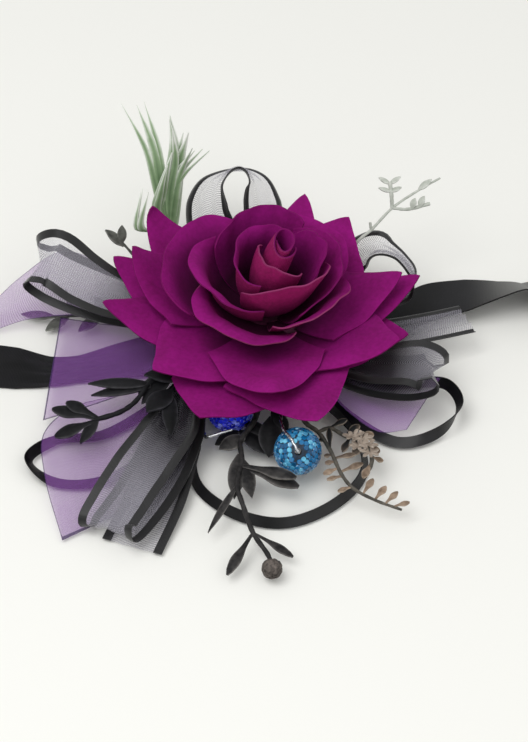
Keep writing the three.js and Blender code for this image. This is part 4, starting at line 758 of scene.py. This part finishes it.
# Artificial sprigs: a tube stem with moulded leaves. Stems are (places, root radius, end radius) and leaves
# [root, tip, breadth], all in thousandths, and places are over the calyx's foot.
sprig = {
    "leafThick": 0.0005, "blade": (0.12, 0.48, 0.44, 0.03), "spoon": (0.12, 0.2, 0.5, 0.2), "crown": 0.14,
    "droop": 0.04, "twist": 0.15, "steps": 12, "columns": 7, "stemSides": 8, "knobs": 0.08, "knobStep": 1.7,
    "seed": 11,
}
blossom = {"petals": 7, "reach": 28, "breadth": 9, "oval": 0.7, "rise": (0.1, 0.5), "vary": (0.8, 1.1)}
berry = {"rings": 14, "sides": 28, "rough": (0.94, 1.05)}
sprigs = {
    "berry_sprig_left": {
        "look": ("black_leaf_plastic", "leaf_black"),
        "stems": [
            ([
                [-66, -18, -11], [-160, -85, -7], [-245, -175, 2], [-295, -224, 11], [-332, -288, 6],
                [-369, -319, 1], [-433, -342, -4],
            ], 6, 7),
        ],
        "blades": [
            [[-293, -228, 11], [-455, -232, 16], 36], [[-293, -232, 8], [-447, -252, -7], 36],
            [[-240, -172, 1], [-325, -250, -2], 45], [[-240, -174, 1], [-315, -285, -4], 45],
            [[-425, -340, -4], [-469, -403, -29], 30],
        ],
        "spoons": [
            [[-425, -340, -4], [-544, -308, 1], 42], [[-425, -338, -2], [-508, -296, 13], 36],
            [[-425, -343, -5], [-535, -378, -29], 42],
        ],
    },
    "berry_sprig_front": {
        "look": ("dusty_black_leaf_plastic", "leaf_black"),
        "stems": [
            ([
                [-2, -64, -21], [-12, -200, -33], [-22, -300, -41], [-60, -385, -39], [-56, -450, -39],
                [-68, -531, -44], [-53, -590, -54], [-27, -670, -69], [10, -734, -79], [20, -766, -81],
            ], 8, 6),
        ],
        "blades": [
            [[-62, -430, -39], [-75, -565, -59], 45], [[-54, -450, -39], [-30, -562, -59], 40],
            [[-66, -530, -44], [-140, -657, -84], 18], [[-50, -370, -39], [-115, -400, -51], 45],
        ],
        "spoons": [
            [[-58, -470, -39], [81, -520, -29], 42], [[-58, -475, -41], [88, -524, -59], 45],
            [[-27, -670, -69], [-91, -790, -89], 28], [[-25, -672, -69], [72, -736, -84], 22],
        ],
        "berries": [[[20, -777, -81], 26]],
    },
    "fern_sprig_right": {
        "look": ("tan_fern_plastic", "fern"),
        "stems": [
            ([
                [28, -66, -7], [70, -220, -11], [105, -335, -19], [138, -366, -24], [168, -424, -29],
                [197, -502, -39], [224, -537, -49], [279, -569, -59], [346, -593, -69],
            ], 7, 3.5),
            ([
                [138, -366, -24], [169, -352, -24], [207, -375, -29], [240, -389, -29], [265, -413, -34],
                [274, -452, -41], [255, -500, -47],
            ], 5, 6),
        ],
        "spoons": [
            [[156, -400, -28], [146, -372, -41], 16], [[168, -424, -29], [166, -362, -14], 16],
            [[175, -441, -32], [153, -440, -35], 11], [[183, -461, -34], [155, -463, -37], 14],
            [[190, -480, -37], [150, -494, -44], 17], [[199, -505, -40], [159, -507, -51], 14],
            [[222, -534, -48.5], [186, -542, -57], 14], [[178, -450, -33], [232, -446, -22], 16],
            [[195, -491, -39], [251, -465, -36], 19], [[250, -553, -53], [276, -511, -44], 19],
            [[279, -569, -59], [308, -532, -49], 19], [[305, -579, -62.5], [337, -546, -54], 17],
            [[326, -586, -65.5], [366, -574, -62], 14], [[169, -352, -24], [213, -326, -19], 17],
            [[207, -375, -29], [245, -345, -21], 23], [[220, -381, -29], [200, -427, -33], 19],
            [[240, -389, -29], [280, -378, -19], 28], [[250, -398, -31], [228, -432, -39], 23],
            [[262, -411, -33], [295, -422, -39], 23], [[273, -440, -39], [303, -445, -49], 16],
            [[272, -460, -42], [250, -510, -41], 20],
        ],
        "blossoms": [
            [228, -384, -24], [250, -390, -26], [240, -410, -32], [264, -408, -30], [270, -430, -35],
        ],
    },
    "leaf_spray_left": {
        "look": ("black_leaf_gloss", "leaf_black"),
        "stems": [
            ([[-66, -31, -11], [-140, -95, 2], [-200, -190, 3.5], [-250, -260, 6]], 4, 5),
        ],
        "blades": [
            [[-245, -250, 5], [-237, -400, -7], 40], [[-240, -245, 5], [-300, -330, 13], 60],
            [[-200, -190, 3.5], [-310, -215, 31], 55],
        ],
    },
    "leaf_spray_front": {
        "look": ("black_leaf_plastic", "leaf_black"),
        "stems": [
            ([[20, -60, -21], [28, -200, -25], [20, -320, -39]], 6, 5),
        ],
        "blades": [
            [[21, -300, -36], [12, -412, -69], 60], [[22, -280, -33], [60, -345, -49], 40],
            [[-64, -329, -59], [22, -386.5, -89], 42], [[-66, -325, -66], [-126, -351, -88], 40],
            [[-50, -300, -59], [12, -333, -69], 36],
        ],
    },
    "sprig_back_left": {
        "look": ("grey_leaf_plastic", "leaf_black"),
        "stems": [
            ([[-105, 40, -63], [-220, 85, -61], [-360, 110, -67], [-500, 130, -87], [-600, 140, -101]], 6, 4),
            ([[-190, 78, -61], [-270, 170, -49], [-330, 240, -9], [-370, 270, 31], [-400, 285, 61]], 5, 3),
        ],
        "blades": [
            [[-380, 272, 39], [-430, 290, 81], 30], [[-385, 276, 46], [-385, 305, 86], 25],
            [[-420, 118, -75], [-460, 185, -69], 35], [[-480, 128, -84], [-540, 195, -79], 35],
            [[-440, 120, -77], [-500, 70, -89], 35], [[-530, 132, -91], [-590, 85, -101], 35],
            [[-570, 136, -97], [-660, 150, -101], 30],
        ],
    },
    "twig_back_right": {
        "look": ("pale_twig_plastic", "twig"),
        "stems": [
            ([
                [98, 65, 5], [160, 150, 9], [220, 230, 24], [252, 270, 56], [290, 290, 81], [347, 334, 121],
                [424, 386, 143], [479, 412, 161],
            ], 6, 3),
            ([[347, 334, 121], [345, 350, 151], [340, 374, 181]], 5, 6),
            ([[347, 334, 121], [390, 334, 117], [450, 347, 126]], 4, 5),
            ([[290, 290, 81], [287, 298, 101]], 4, 4),
        ],
        "blades": [
            [[420, 384, 143], [455, 400, 166], 20], [[342, 355, 161], [310, 365, 166], 14],
            [[342, 355, 161], [372, 365, 168], 14], [[340, 370, 176], [310, 385, 186], 14],
            [[340, 370, 176], [370, 388, 186], 14], [[400, 335, 120], [410, 350, 143], 18],
            [[420, 340, 122], [435, 355, 146], 18],
        ],
    },
}


def leafShape(leaf, outline, slot, rng):
    root, tip = overCalyx(leaf[:2])
    breadth = leaf[2] / 1000 * arrangement
    run = tip - root
    along = np.linspace(0, 1, sprig["steps"])
    half = curvePoints([[i, share, 0] for i, share in enumerate(outline)], sprig["steps"])[:, 1]
    half = np.maximum(half, 0.02) * breadth
    half[-1] *= 0.5
    side = unit(np.array([-run[1], run[0], 0]))
    edges = np.linspace(-1, 1, sprig["columns"])
    lift = sprig["crown"] * breadth * np.sin(math.pi * along)
    rows = root + run * along[:, None, None] + side * (edges[None, :, None] * half[:, None, None])
    keel = 1 - np.abs(edges)
    twist = rng.uniform(-sprig["twist"], sprig["twist"])
    rows[..., 2] += lift[:, None] * keel[None] + twist * half[:, None] * edges[None] * along[:, None]
    rows[..., 2] -= sprig["droop"] * np.linalg.norm(run) * (along**2 - along)[:, None]
    return sheetShape(rows, sprig["leafThick"], (slot, slot, slot), tone=np.abs(edges))


# Moulded plastic, grainy and matt, so the sprigs look dry, with edges painted paler as a highlight; flocked
# on the berry.
# Dark, light and edge colours, then the grain's scale where it isn't the usual, and the colour near the
# flower.
plasticLook = {
    "black_leaf_plastic": ("#08090b", "#1b1b1e", "#5c5b5e"),
    "black_leaf_gloss": ("#060708", "#151519", "#4e4d53"),
    "dusty_black_leaf_plastic": ("#1a191a", "#42403f", "#918d89"),
    "grey_leaf_plastic": ("#3c3d39", "#70726b", "#a3a59d"),
    "fern_stem_plastic": ("#3a3935", "#706a60", "#8d867a"),
    "cream_blossom_plastic": ("#7d7065", "#b5a799", "#d6ccc0"),
    "tan_fern_plastic": ("#5a4a3c", "#a8937f", "#cfbfac", 700, "#17181a"),
    "berry_flock": ("#2a2725", "#7a716b", "#a39a92", 1300),
    "pale_twig_plastic": ("#aeb3a9", "#d8dbd3", "#eceee9"),
}
# where the spray begins, and how fast it comes, towards the front and the side
sprayed = {"frontStart": -4.7, "frontRise": -110.0, "sideStart": -5.4, "sideRise": 220.0}


def makeLeafPlastic(name, dark, light, edge, scale=700, tips=None):
    material, add, place = startMaterial(name)
    grain = add("TexNoise", {"Vector": place, "Scale": scale, "Detail": 3.0})
    patches = add("TexNoise", {"Vector": place, "Scale": scale / 6, "Detail": 2.0})
    rim = add("Attribute", out="Fac", attribute_name="tone")
    mottled = weighted(add, 0.0, (grain, 0.5), (patches, 0.5))
    colour = add("ValToRGB", (mottled,), stops=((0.4, dark), (0.7, light)))
    if tips:
        # the leaves nearest the flower are black, those further out are sprayed
        spot = add("SeparateXYZ", (place,)).node.outputs
        forward = weighted(add, sprayed["frontStart"], (spot["Y"], sprayed["frontRise"]))
        sideways = weighted(add, sprayed["sideStart"], (spot["X"], sprayed["sideRise"]))
        outward = add("Math MAXIMUM", (forward, sideways))
        coat = weighted(add, outward, (patches, 0.5), clamp=True)
        colour = add("Mix", {0: coat, 6: tips, 7: colour}, out=2, data_type="RGBA")
    # painted highlight: the colour pales to the edge colour towards each leaf's rims
    rimHighlight = add("Math POWER", (rim, 6.0))
    rimHighlight = add("Math MULTIPLY", (rimHighlight, weighted(add, 0.0, (grain, 0.9))))
    shader = {
        "Roughness": 0.62,
        "Specular IOR Level": 0.18,
        "Base Color": add("Mix", {0: rimHighlight, 6: colour, 7: edge}, out=2, data_type="RGBA"),
    }
    return finishMaterial(material, shader, grain, 0.4, 0.0002)


plastics = {name: makeLeafPlastic(name, *look) for name, look in plasticLook.items()}


def makeSprigs():
    others = [plastics[kind] for kind in ("berry_flock", "fern_stem_plastic", "cream_blossom_plastic")]
    for number, (name, parts) in enumerate(sprigs.items()):
        rng = random.Random(number + sprig["seed"])
        shapes = []
        for places, rootShare, endShare in parts["stems"]:
            line = curvePoints(overCalyx(places), 6 * len(places))
            radii = np.linspace(rootShare / 1000, endShare / 1000, len(line)) * arrangement
            radii = radii * (1 + sprig["knobs"] * np.sin(np.arange(len(line)) * sprig["knobStep"] + number))
            shapes.append(tubeShape(line, radii, sprig["stemSides"], slot=2 if "blossoms" in parts else 0))
        for centre in parts.get("blossoms", []):
            for turn in np.linspace(0, 2 * math.pi, blossom["petals"] + 1)[1:] + rng.random():
                rise = rng.uniform(*blossom["rise"])
                way = np.array([math.cos(turn), blossom["oval"] * math.sin(turn), rise])
                tip = np.array(centre) + way * blossom["reach"] * rng.uniform(*blossom["vary"])
                shapes.append(leafShape([centre, tip, blossom["breadth"]], sprig["spoon"], 3, rng))
        for kind in ("blade", "spoon"):
            shapes += [leafShape(leaf, sprig[kind], 0, rng) for leaf in parts.get(kind + "s", [])]
        for centre, share in parts.get("berries", []):
            turns = np.linspace(0, math.pi, berry["rings"])
            middle, radius = overCalyx(centre), share / 1000 * arrangement
            axis = np.stack([0 * turns, -np.cos(turns) * radius, 0 * turns], axis=1)
            radii = np.maximum(np.sin(turns), 0.02) * radius
            ball = tubeShape(middle + axis, radii, berry["sides"], slot=1)
            bumps = np.random.default_rng(number).uniform(*berry["rough"], len(ball["points"]))[:, None]
            ball["points"] = middle + (ball["points"] - middle) * bumps
            shapes.append(ball)
        look, slot = parts["look"]
        makePiece(name + "_moulded", shapes, [plastics[look], *others], [name])


makeSprigs()
print("sprigs made")


# Grass tuft: soft green blades with pale edges from one bound root, each [places, breadth] in thousandths
grass = {
    "start": (-0.008, 0.0075, 0.0063), "rootRadii": (0.008, 0.02), "tip": 0.06, "spread": 0.25,
    "thick": 0.0004, "strands": 3, "sway": 0.0022, "steps": 30, "columns": 5, "rootSides": 12, "cup": 0.35,
    "thin": (1.7, 0.6), "facing": (1.0, 0.15, 0), "seed": 5,
}
grassRoot = [
    [-160, 200, -51], [-240, 330, -19], [-262, 380, 21],
]
grassBlades = [
    [[-260, 370, 11], [-280, 410, 91], [-300, 470, 211], [-345, 540, 311], 30],
    [[-260, 370, 11], [-260, 420, 101], [-245, 480, 201], [-255, 520, 291], 35],
    [[-255, 370, 11], [-250, 410, 81], [-235, 460, 161], [-205, 490, 256], 40],
    [[-260, 370, 11], [-270, 400, 71], [-245, 440, 141], [-190, 480, 201], 30],
    [[-270, 370, 11], [-290, 390, 61], [-275, 420, 131], [-250, 460, 211], 30],
    [[-265, 360, 11], [-300, 350, 21], [-335, 340, 41], [-315, 400, 121], 25],
]


def makeGrassPlastic():
    # soft plastic that pales towards the rims and tips, so each blade reads as thin
    material, add, place = startMaterial("green_grass_plastic")
    drift = add("TexNoise", {"Vector": place, "Scale": 160, "Detail": 3.0})
    rim = add("Attribute", out="Fac", attribute_name="tone")
    pale = weighted(add, 0.0, (rim, 0.55), (drift, 0.5))
    stops = ((0.2, "#4b6841"), (0.55, "#86a078"), (0.95, "#eef1ea"))
    shader = {"Roughness": 0.5, "Base Color": add("ValToRGB", (pale,), stops=stops)}
    return finishMaterial(material, shader)


def makeGrass():
    steps = grass["steps"]
    root = curvePoints([grass["start"], *overCalyx(grassRoot)], steps)
    shapes = [tubeShape(root, np.linspace(*grass["rootRadii"], steps) * arrangement, grass["rootSides"])]
    rng = random.Random(grass["seed"])
    along = np.linspace(grass["spread"], 1, steps)
    run = np.linspace(0, 1, steps)[:, None]
    edges = np.linspace(-1, 1, grass["columns"])
    first, more = grass["thin"]
    for *places, breadth in grassBlades:
        line = curvePoints(overCalyx(places), steps)
        for strand in range(grass["strands"]):
            way = np.array([rng.uniform(-1, 1), rng.uniform(-1, 1), rng.uniform(-0.6, 0.2)])
            bent = line + way * grass["sway"] * strand * run**1.5
            half = np.maximum(grass["tip"], np.sin(math.pi * along)) * (breadth / 1000) * arrangement
            half /= first + more * strand
            rows = bent[:, None] + np.array(grass["facing"]) * (edges[None, :, None] * half[:, None, None])
            rows[..., 1] += grass["cup"] * half[:, None] * (edges**2)[None]
            tone = 0.8 * np.abs(edges)[None] + 0.9 * run**3
            shapes.append(sheetShape(rows, grass["thick"], tone=tone))
    makePiece("grass_tuft_blades", shapes, [makeGrassPlastic()], ["grass_tuft"])


makeGrass()
print("grass made")


# Pave beads: a clay ball set with faceted stones, on silver wire. Places are in thousandths over the calyx's
# foot, bore and over are directions.
bead = {
    "radius": 0.006, "bore": 0.0011, "stones": 270, "stone": 0.00078, "corners": 8, "sunk": 0.0002,
    "stand": 0.4, "flat": 0.75, "jitter": 0.02, "tilt": 0.08,
}
beads = {
    "turquoise": {
        "colours": ("#033659", "#0f6fa6", "#74cdec"),
        "centre": [86, -428, -29],
        "bore": [0, -0.707, 0.707],
        "root": [[14, -62, -6], [30, -200, -1], [41, -290, 3]],
        "over": [[-0.55, 0.35, 0.85], [-0.25, -0.35, 1]],
        "end": [],
    },
    "cobalt": {
        "colours": ("#0a0a90", "#2634f4", "#9ba8ff"),
        "centre": [-88, -260, -47],
        "bore": [0.75, -0.45, 0.48],
        "root": [[-5, -64, -6], [-20, -130, -5]],
        "over": [[0.7, 0.75, 0.65], [0.95, 0.1, 0.75]],
        "end": [
            [-155, -235, -79], [-158, -300, -77], [-150, -355, -54], [-140, -378, -29], [-110, -372, -21],
            [-82, -363, -19],
        ],
    },
}
wire = {
    "radius": 0.00038, "gap": 0.0003, "solidRadius": 0.0004, "crinkle": 0.00016, "waves": (0.9, 0.37),
    "fade": 6, "samples": 26, "sides": 8,
}


def makeStoneGroup():
    # Geometry Nodes: stones spread evenly over a ball, each a cut cone that stands on the surface
    tree = bpy.data.node_groups.new("pave_stones", "GeometryNodeTree")
    labels = ("Geometry", "Count", "Ball Radius", "Stone Radius", "Axis", "Bore Share", "Material")
    for label, kind in zip(labels, ("Geometry", "Int", "Float", "Float", "Vector", "Float", "Material")):
        tree.interface.new_socket(label, in_out="INPUT", socket_type="NodeSocket" + kind)
    tree.interface.new_socket("Geometry", in_out="OUTPUT", socket_type="NodeSocketGeometry")
    add = partial(addNode, tree)
    given = add("NodeGroupInput").node.outputs
    index = add("GeometryNodeInputIndex")
    points = add("GeometryNodePoints", {"Count": given["Count"]})
    middle = add("Math ADD", (index, 0.5))
    share = add("Math DIVIDE", (middle, given["Count"]))
    height = weighted(add, 1.0, (share, -2.0))
    squared = add("Math MULTIPLY", (height, height))
    across = add("Math SQRT", (weighted(add, 1.0, (squared, -1.0)),))
    # the golden angle, which spreads the stones evenly
    turn = weighted(add, 0.0, (index, math.pi * (3 - math.sqrt(5))))
    swings = [add("Math", (turn,), operation=way) for way in ("COSINE", "SINE")]
    sides = [add("Math MULTIPLY", (across, swing)) for swing in swings]
    spiral = add("CombineXYZ", (*sides, height))

    def strayed(vector, reach, seed):
        limits = {0: (-reach,) * 3, 1: (reach,) * 3, "Seed": seed}
        stray = add("FunctionNodeRandomValue", limits, data_type="FLOAT_VECTOR")
        moved = add("VectorMath ADD", (vector, stray))
        return add("VectorMath NORMALIZE", (moved,))

    outward = strayed(spiral, bead["jitter"], 7)
    place = add("VectorMath SCALE", {0: outward, "Scale": given["Ball Radius"]})
    placed = add("GeometryNodeSetPosition", {"Geometry": points, "Position": place})
    facing = add("VectorMath DOT_PRODUCT", (outward, given["Axis"]), out="Value")
    facing = add("Math ABSOLUTE", (facing,))
    atBore = add("Math GREATER_THAN", (facing, given["Bore Share"]))
    kept = add("GeometryNodeDeleteGeometry", {"Geometry": placed, "Selection": atBore})
    tone = add("FunctionNodeRandomValue", {"Seed": 3}, out=1, data_type="FLOAT")
    toned = {"Geometry": kept, "Name": "tone", "Value": tone}
    toned = add("GeometryNodeStoreNamedAttribute", toned, data_type="FLOAT", domain="POINT")
    cut = {"Vertices": bead["corners"], "Side Segments": 1, "Fill Segments": 1}
    cut["Radius Bottom"] = given["Stone Radius"]
    for key, share in (("Radius Top", bead["flat"]), ("Depth", bead["stand"])):
        cut[key] = weighted(add, 0.0, (given["Stone Radius"], share))
    stone = add("GeometryNodeMeshCone", cut)
    # the index changes where stones are left out at the bore, so each stone faces out from its own position
    position = add("GeometryNodeInputPosition")
    facingOut = add("VectorMath NORMALIZE", (position,))
    tilted = strayed(facingOut, bead["tilt"], 8)
    turned = add("FunctionNodeAlignRotationToVector", {"Vector": tilted}, axis="Z")
    spread = {"Points": toned, "Instance": stone, "Rotation": turned}
    spread = add("GeometryNodeInstanceOnPoints", spread)
    real = add("GeometryNodeRealizeInstances", {"Geometry": spread})
    painted = add("GeometryNodeSetMaterial", {"Geometry": real, "Material": given["Material"]})
    setInputs(tree, tree.nodes.new("NodeGroupOutput"), {"Geometry": painted})
    return tree


stoneGroup = makeStoneGroup()


def makeStones(name, centre, axis, material, ride):
    maker = bpy.data.objects.new(name + "_start", bpy.data.meshes.new(name + "_start"))
    scene.collection.objects.link(maker)
    modifier = maker.modifiers.new("stones", "NODES")
    modifier.node_group = stoneGroup
    given = {
        "Count": bead["stones"],
        "Ball Radius": bead["radius"] - bead["sunk"],
        "Stone Radius": bead["stone"],
        "Axis": tuple(axis),
        "Bore Share": math.cos((bead["bore"] + bead["stone"]) / bead["radius"]),
        "Material": material,
    }
    for item in stoneGroup.interface.items_tree:
        if item.in_out == "INPUT" and item.name in given:
            modifier[item.identifier] = given[item.name]
    bpy.context.view_layer.update()
    made = bpy.data.meshes.new_from_object(maker.evaluated_get(bpy.context.evaluated_depsgraph_get()))
    bpy.data.objects.remove(maker)
    made.transform(Matrix.Translation(centre))
    made.name = name
    piece = bpy.data.objects.new(name, made)
    scene.collection.objects.link(piece)
    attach(piece, ride)


def makeStoneGlass(name, dark, middle, light):
    # cut glass: each stone has its own shade of one hue, and a coat that gives small highlights
    material, add, place = startMaterial(name)
    tone = add("Attribute", out="Fac", attribute_name="tone")
    facet = add("TexNoise", {"Vector": place, "Scale": 900, "Detail": 1.0})
    mixed = weighted(add, 0.0, (tone, 0.6), (facet, 0.4))
    stops = ((0.15, dark), (0.45, middle), (0.6, middle), (0.85, light))
    shader = {
        "Roughness": 0.06,
        "Specular IOR Level": 0.6,
        "Coat Weight": 0.3,
        "Coat Roughness": 0.03,
        "Base Color": add("ValToRGB", (mixed,), stops=stops),
    }
    return finishMaterial(material, shader)


def makeGrainy(name, ends, scale, shader, strength, depth):
    # any dull solid stuff: a fine grain between two colours, at the ends of a ramp
    material, add, place = startMaterial(name)
    grain = add("TexNoise", {"Vector": place, "Scale": scale, "Detail": 4.0})
    colour = add("ValToRGB", (grain,), stops=ends)
    return finishMaterial(material, {**shader, "Base Color": colour}, grain, strength, depth)


def makeWireMetal():
    # silver craft wire: bright metal with fine drawn scratches
    material, add, place = startMaterial("silver_craft_wire")
    grain = add("TexNoise", {"Vector": place, "Scale": 2500, "Detail": 4.0})
    colour = add("ValToRGB", (grain,), stops=((0.3, "#9a9ca0"), (0.7, "#d8dade")))
    rough = weighted(add, 0.16, (grain, 0.16))
    shader = {"Metallic": 1.0, "Base Color": colour, "Roughness": rough}
    return finishMaterial(material, shader, grain, 0.3, 0.00006)


wireMetal = makeWireMetal()


def paintNode(name, material):
    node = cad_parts[name]
    node.data.materials.clear()
    node.data.materials.append(material)


def makeBeads():
    for name, shares in beads.items():
        centre = overCalyx(shares["centre"])[0]
        axis = unit(np.array(shares["bore"], float))
        glass = makeStoneGlass("pave_glass_" + name, *shares["colours"])
        makeStones("pave_stones_" + name, centre, axis, glass, "bead_" + name)
        ends = ((0.3, "#05070c"), (0.8, shares["colours"][0]))
        clay = makeGrainy("bead_clay_" + name, ends, 1500, {"Roughness": 0.5}, 0.3, 0.0001)
        paintNode("bead_" + name, clay)
        clear = bead["radius"] + 2 * (wire["solidRadius"] + wire["gap"])
        reaches = (clear, bead["radius"], -bead["radius"] - wire["solidRadius"] - wire["gap"])
        places = [
            *overCalyx(shares["root"]),
            *[centre + unit(np.array(way, float)) * clear for way in shares["over"]],
            *[centre + axis * reach for reach in reaches],
            *overCalyx(shares["end"]),
        ]
        count = wire["samples"] * len(places)
        line = curvePoints(places, count)
        quick, slow = wire["waves"]
        bend = np.sin(np.arange(count) * quick) * np.sin(np.arange(count) * slow + 1)
        fade = np.clip(np.linspace(0, wire["fade"], count), 0, 1)
        fade *= np.clip(np.linspace(wire["fade"], 0, count), 0, 1)
        nearBore = np.linalg.norm(line - centre, axis=1) < bead["radius"] + wire["solidRadius"]
        line[:, 0] += wire["crinkle"] * bend * fade * ~nearBore
        tube = tubeShape(line, wire["radius"], wire["sides"])
        makePiece("wire_" + name, [tube], [wireMetal], ["bead_wire_" + name])


makeBeads()
print("beads made")


# Satin ties: each folds at the pad's edge, runs out and is rolled up
tie = {
    "hinge": 0.0256,
    "level": 0.0021,
    "width": 0.016,
    "thick": 0.0004,
    "runs": {"left": 0.067, "right": 0.075},
    "pleat": 0.0018,
    "rollRadius": 0.011,
    "rollPitch": 0.0015,
    "rollTurns": 3.25,
    "rollSteps": 150,
    "rest": 0.00023,
    "seatGap": 0.00029,
    "foldEnds": 0.0012,
    "steps": 90,
    "columns": 13,
}
# [x, y, height in thousandths, lean in degrees, width share]
tiePlaces = {
    "left": [
        [-300, -5, 16, 0, 1], [-400, -25, 8, 0, 0.8], [-500, -55, 5, 0, 0.62], [-570, -62, 5, 0, 0.68],
        [-660, -45, 5, 0, 0.95], [-760, -30, 5, 0, 1],
    ],
    "right": [
        [300, 60, 20, 0, 1], [370, 130, 24, 0, 1], [440, 180, 30, -4, 1], [550, 200, 42, -12, 1],
        [640, 210, 54, -28, 1], [710, 215, 60, -38, 1], [800, 205, 30, -12, 1],
    ],
}
tieSatin = {"colour": "#060608", "light": "#131317", "rib": 0.4, "roughness": 0.4, "gloss": 0.25}
satinTie = makeSatin("tie_satin", tieSatin)


def tieRows(side, shares, run):
    places = np.array([[0] * 5, *shares], float)
    places[:, :3] /= 1000
    places[0] = [side * tie["hinge"] / arrangement, 0, tie["level"] / arrangement, 0, 1]
    line = curvePoints(places[:, :3] * arrangement, tie["steps"])
    along = np.linspace(0, len(places) - 1, tie["steps"])
    lean = np.radians(np.interp(along, range(len(places)), places[:, 3]))
    widths = np.interp(along, range(len(places)), places[:, 4])
    half = tie["width"] / 2 * widths
    edges = np.linspace(-1, 1, tie["columns"])
    across = np.stack([0 * lean, np.cos(lean), np.sin(lean)], axis=1)
    flat = line[:, None] + across[:, None] * (edges[None, :, None] * half[:, None, None])
    pleat = (1 - widths) * tie["pleat"]
    flat[..., 2] += pleat[:, None] * np.abs(np.sin(1.5 * math.pi * edges))[None]
    turns = np.linspace(0, tie["rollTurns"] * 2 * math.pi, tie["rollSteps"])[1:]
    radius = tie["rollRadius"] - tie["rollPitch"] * turns / (2 * math.pi)
    x = side * (tie["hinge"] + run) + side * radius * np.sin(turns)
    z = tie["rest"] + tie["rollRadius"] - radius * np.cos(turns)
    y = places[-1, 1] * arrangement + edges * tie["width"] / 2
    rolled = np.stack(np.broadcast_arrays(x[:, None], y[None], z[:, None]), axis=-1)
    # close rows at the hinge, where the cloth bends between the seat and the tie
    crease = np.linspace(flat[0] - [side * tie["seatGap"], 0, 0], flat[0], 4)[:-1]
    bend = [np.linspace(flat[k], flat[k + 1], 5)[:-1] for k in range(2)]
    return np.concatenate([crease, *bend, flat[2:], rolled])


def makeTies():
    for name, side in (("left", -1), ("right", 1)):
        node = "tie_" + name
        rows = tieRows(side, tiePlaces[name], tie["runs"][name])
        print("tie", name, round(lengthOf(rows[:, tie["columns"] // 2]), 4))
        sheet = sheetShape(rows, tie["thick"])
        piece = makePiece(node + "_satin", [sheet], [satinTie], [node], ride=None)
        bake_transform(piece)


makeTies()
print("ties made")


# What lies under the flower: a black felt pad, the tie's seat, and the solids, which are only painted
pad = {"length": 0.05, "breadth": 0.036, "thick": 0.0016, "round": 0.0005, "sides": 96, "middle": 0.0001}
seatGap = 0.0003
# (colours, grain's scale, shader, relief's depth): the felt looks hairy, the disc is moulded plastic, the
# glue is milky, the stem and calyx are green moulded plastic, and the hip is wrapped in wine-red cloth
hiddenLook = {
    "black_felt": (("#0c0c0f", "#26262c"), 2600, {"Roughness": 0.95, "Sheen Weight": 0.6}, 0.0003),
    "moulded_black_disc": (("#0b0b0d", "#1a1a1e"), 1800, {"Roughness": 0.45}, 0.0001),
    "hot_glue": (("#b9b2a2", "#e4dfd2"), 300, {"Roughness": 0.3, "Coat Weight": 0.4}, 0.0001),
    "green_moulded_stem": (("#1f2c19", "#3a4d31"), 900, {"Roughness": 0.6}, 0.0001),
    "hip_wine_cloth": (("#3a0626", "#5c0b3d"), 900, {"Roughness": 0.9, "Sheen Weight": 0.5}, 0.0001),
}
hiddenMaterials = {
    name: makeGrainy(name, tuple(zip((0.3, 0.7), colours)), scale, shader, 0.5, depth)
    for name, (colours, scale, shader, depth) in hiddenLook.items()
}


def makePad():
    turns = np.linspace(0, 2 * math.pi, pad["sides"] + 1)[:-1]
    inset = np.array([1, 0.4, 0, 0, 0.4, 1]) * pad["round"]
    heights = np.array([0, 0, 0.3, 0.7, 1, 1]) * pad["thick"]
    # the first and last ring lie at the middle of the two faces
    middle = pad["breadth"] / 2 - pad["middle"]
    rings = []
    for shrink, height in [(middle, 0), *zip(inset, heights), (middle, pad["thick"])]:
        stretch = pad["length"] / pad["breadth"] if shrink == middle else 1
        reachX, reachY = pad["length"] / 2 - shrink * stretch, pad["breadth"] / 2 - shrink
        rings.append(ovalRing(turns, reachX, reachY, height))
    shape = makeShape(np.concatenate(rings), ringFaces(len(rings), len(turns)))
    piece = makePiece("felt_pad", [shape], [hiddenMaterials["black_felt"]], ["wrist_pad"])
    half = tie["hinge"] - seatGap
    x = np.linspace(-half, half, 40)
    y = np.linspace(-tie["width"] / 2, tie["width"] / 2, 9)
    rows = np.stack(np.broadcast_arrays(x[:, None], y[None], tie["level"] + 0 * x[:, None]), axis=-1)
    seat = makePiece("tie_seat_satin", [sheetShape(rows, tie["thick"])], [satinTie], ["tie_seat"])


makePad()
for node, finish in (
    ("mounting_disc", "moulded_black_disc"),
    ("glue_mound", "hot_glue"),
    ("rose_stem", "green_moulded_stem"),
    ("calyx_cup", "green_moulded_stem"),
    ("rose_hip", "hip_wine_cloth"),
):
    paintNode(node, hiddenMaterials[finish])


# Knots: the wrapped middle of each bow, round the stem, as (foot, height, material, node, slot)
knots = {"stem": 0.0019, "radius": 0.0056, "round": 0.0003, "pleat": 0.00012, "pleats": 11, "sides": 64}
knotLevels = {
    "narrow": (0.0066, 0.0012, satinBlack, "narrow_ribbon_bow", "satin"),
    "organza": (0.0081, 0.0016, organzaPurple, "organza_bow", "organza"),
    "sheer": (0.01, 0.0016, satinBlack, "sheer_ribbon_bow", "sheer"),
}


def makeKnots():
    turns = np.linspace(0, 2 * math.pi, knots["sides"] + 1)[:-1]
    inner, outer = knots["stem"], knots["radius"]
    rounded = outer - knots["round"]
    profile = [(inner, 0), (rounded, 0), (outer, 0.3), (outer, 0.7), (rounded, 1), (inner, 1)]
    for name, (low, height, material, node, slot) in knotLevels.items():
        rings = []
        for out, up in profile:
            reach = out + knots["pleat"] * np.sin(knots["pleats"] * turns) * (out > inner)
            rings.append(ovalRing(turns, reach, reach, low + height * up))
        faces = ringFaces(len(profile), len(turns), loop=True)
        shape = makeShape(np.concatenate(rings), faces, tone=1.0)
        makePiece("knot_" + name, [shape], [material], [node])


makeKnots()
print("hidden parts made")
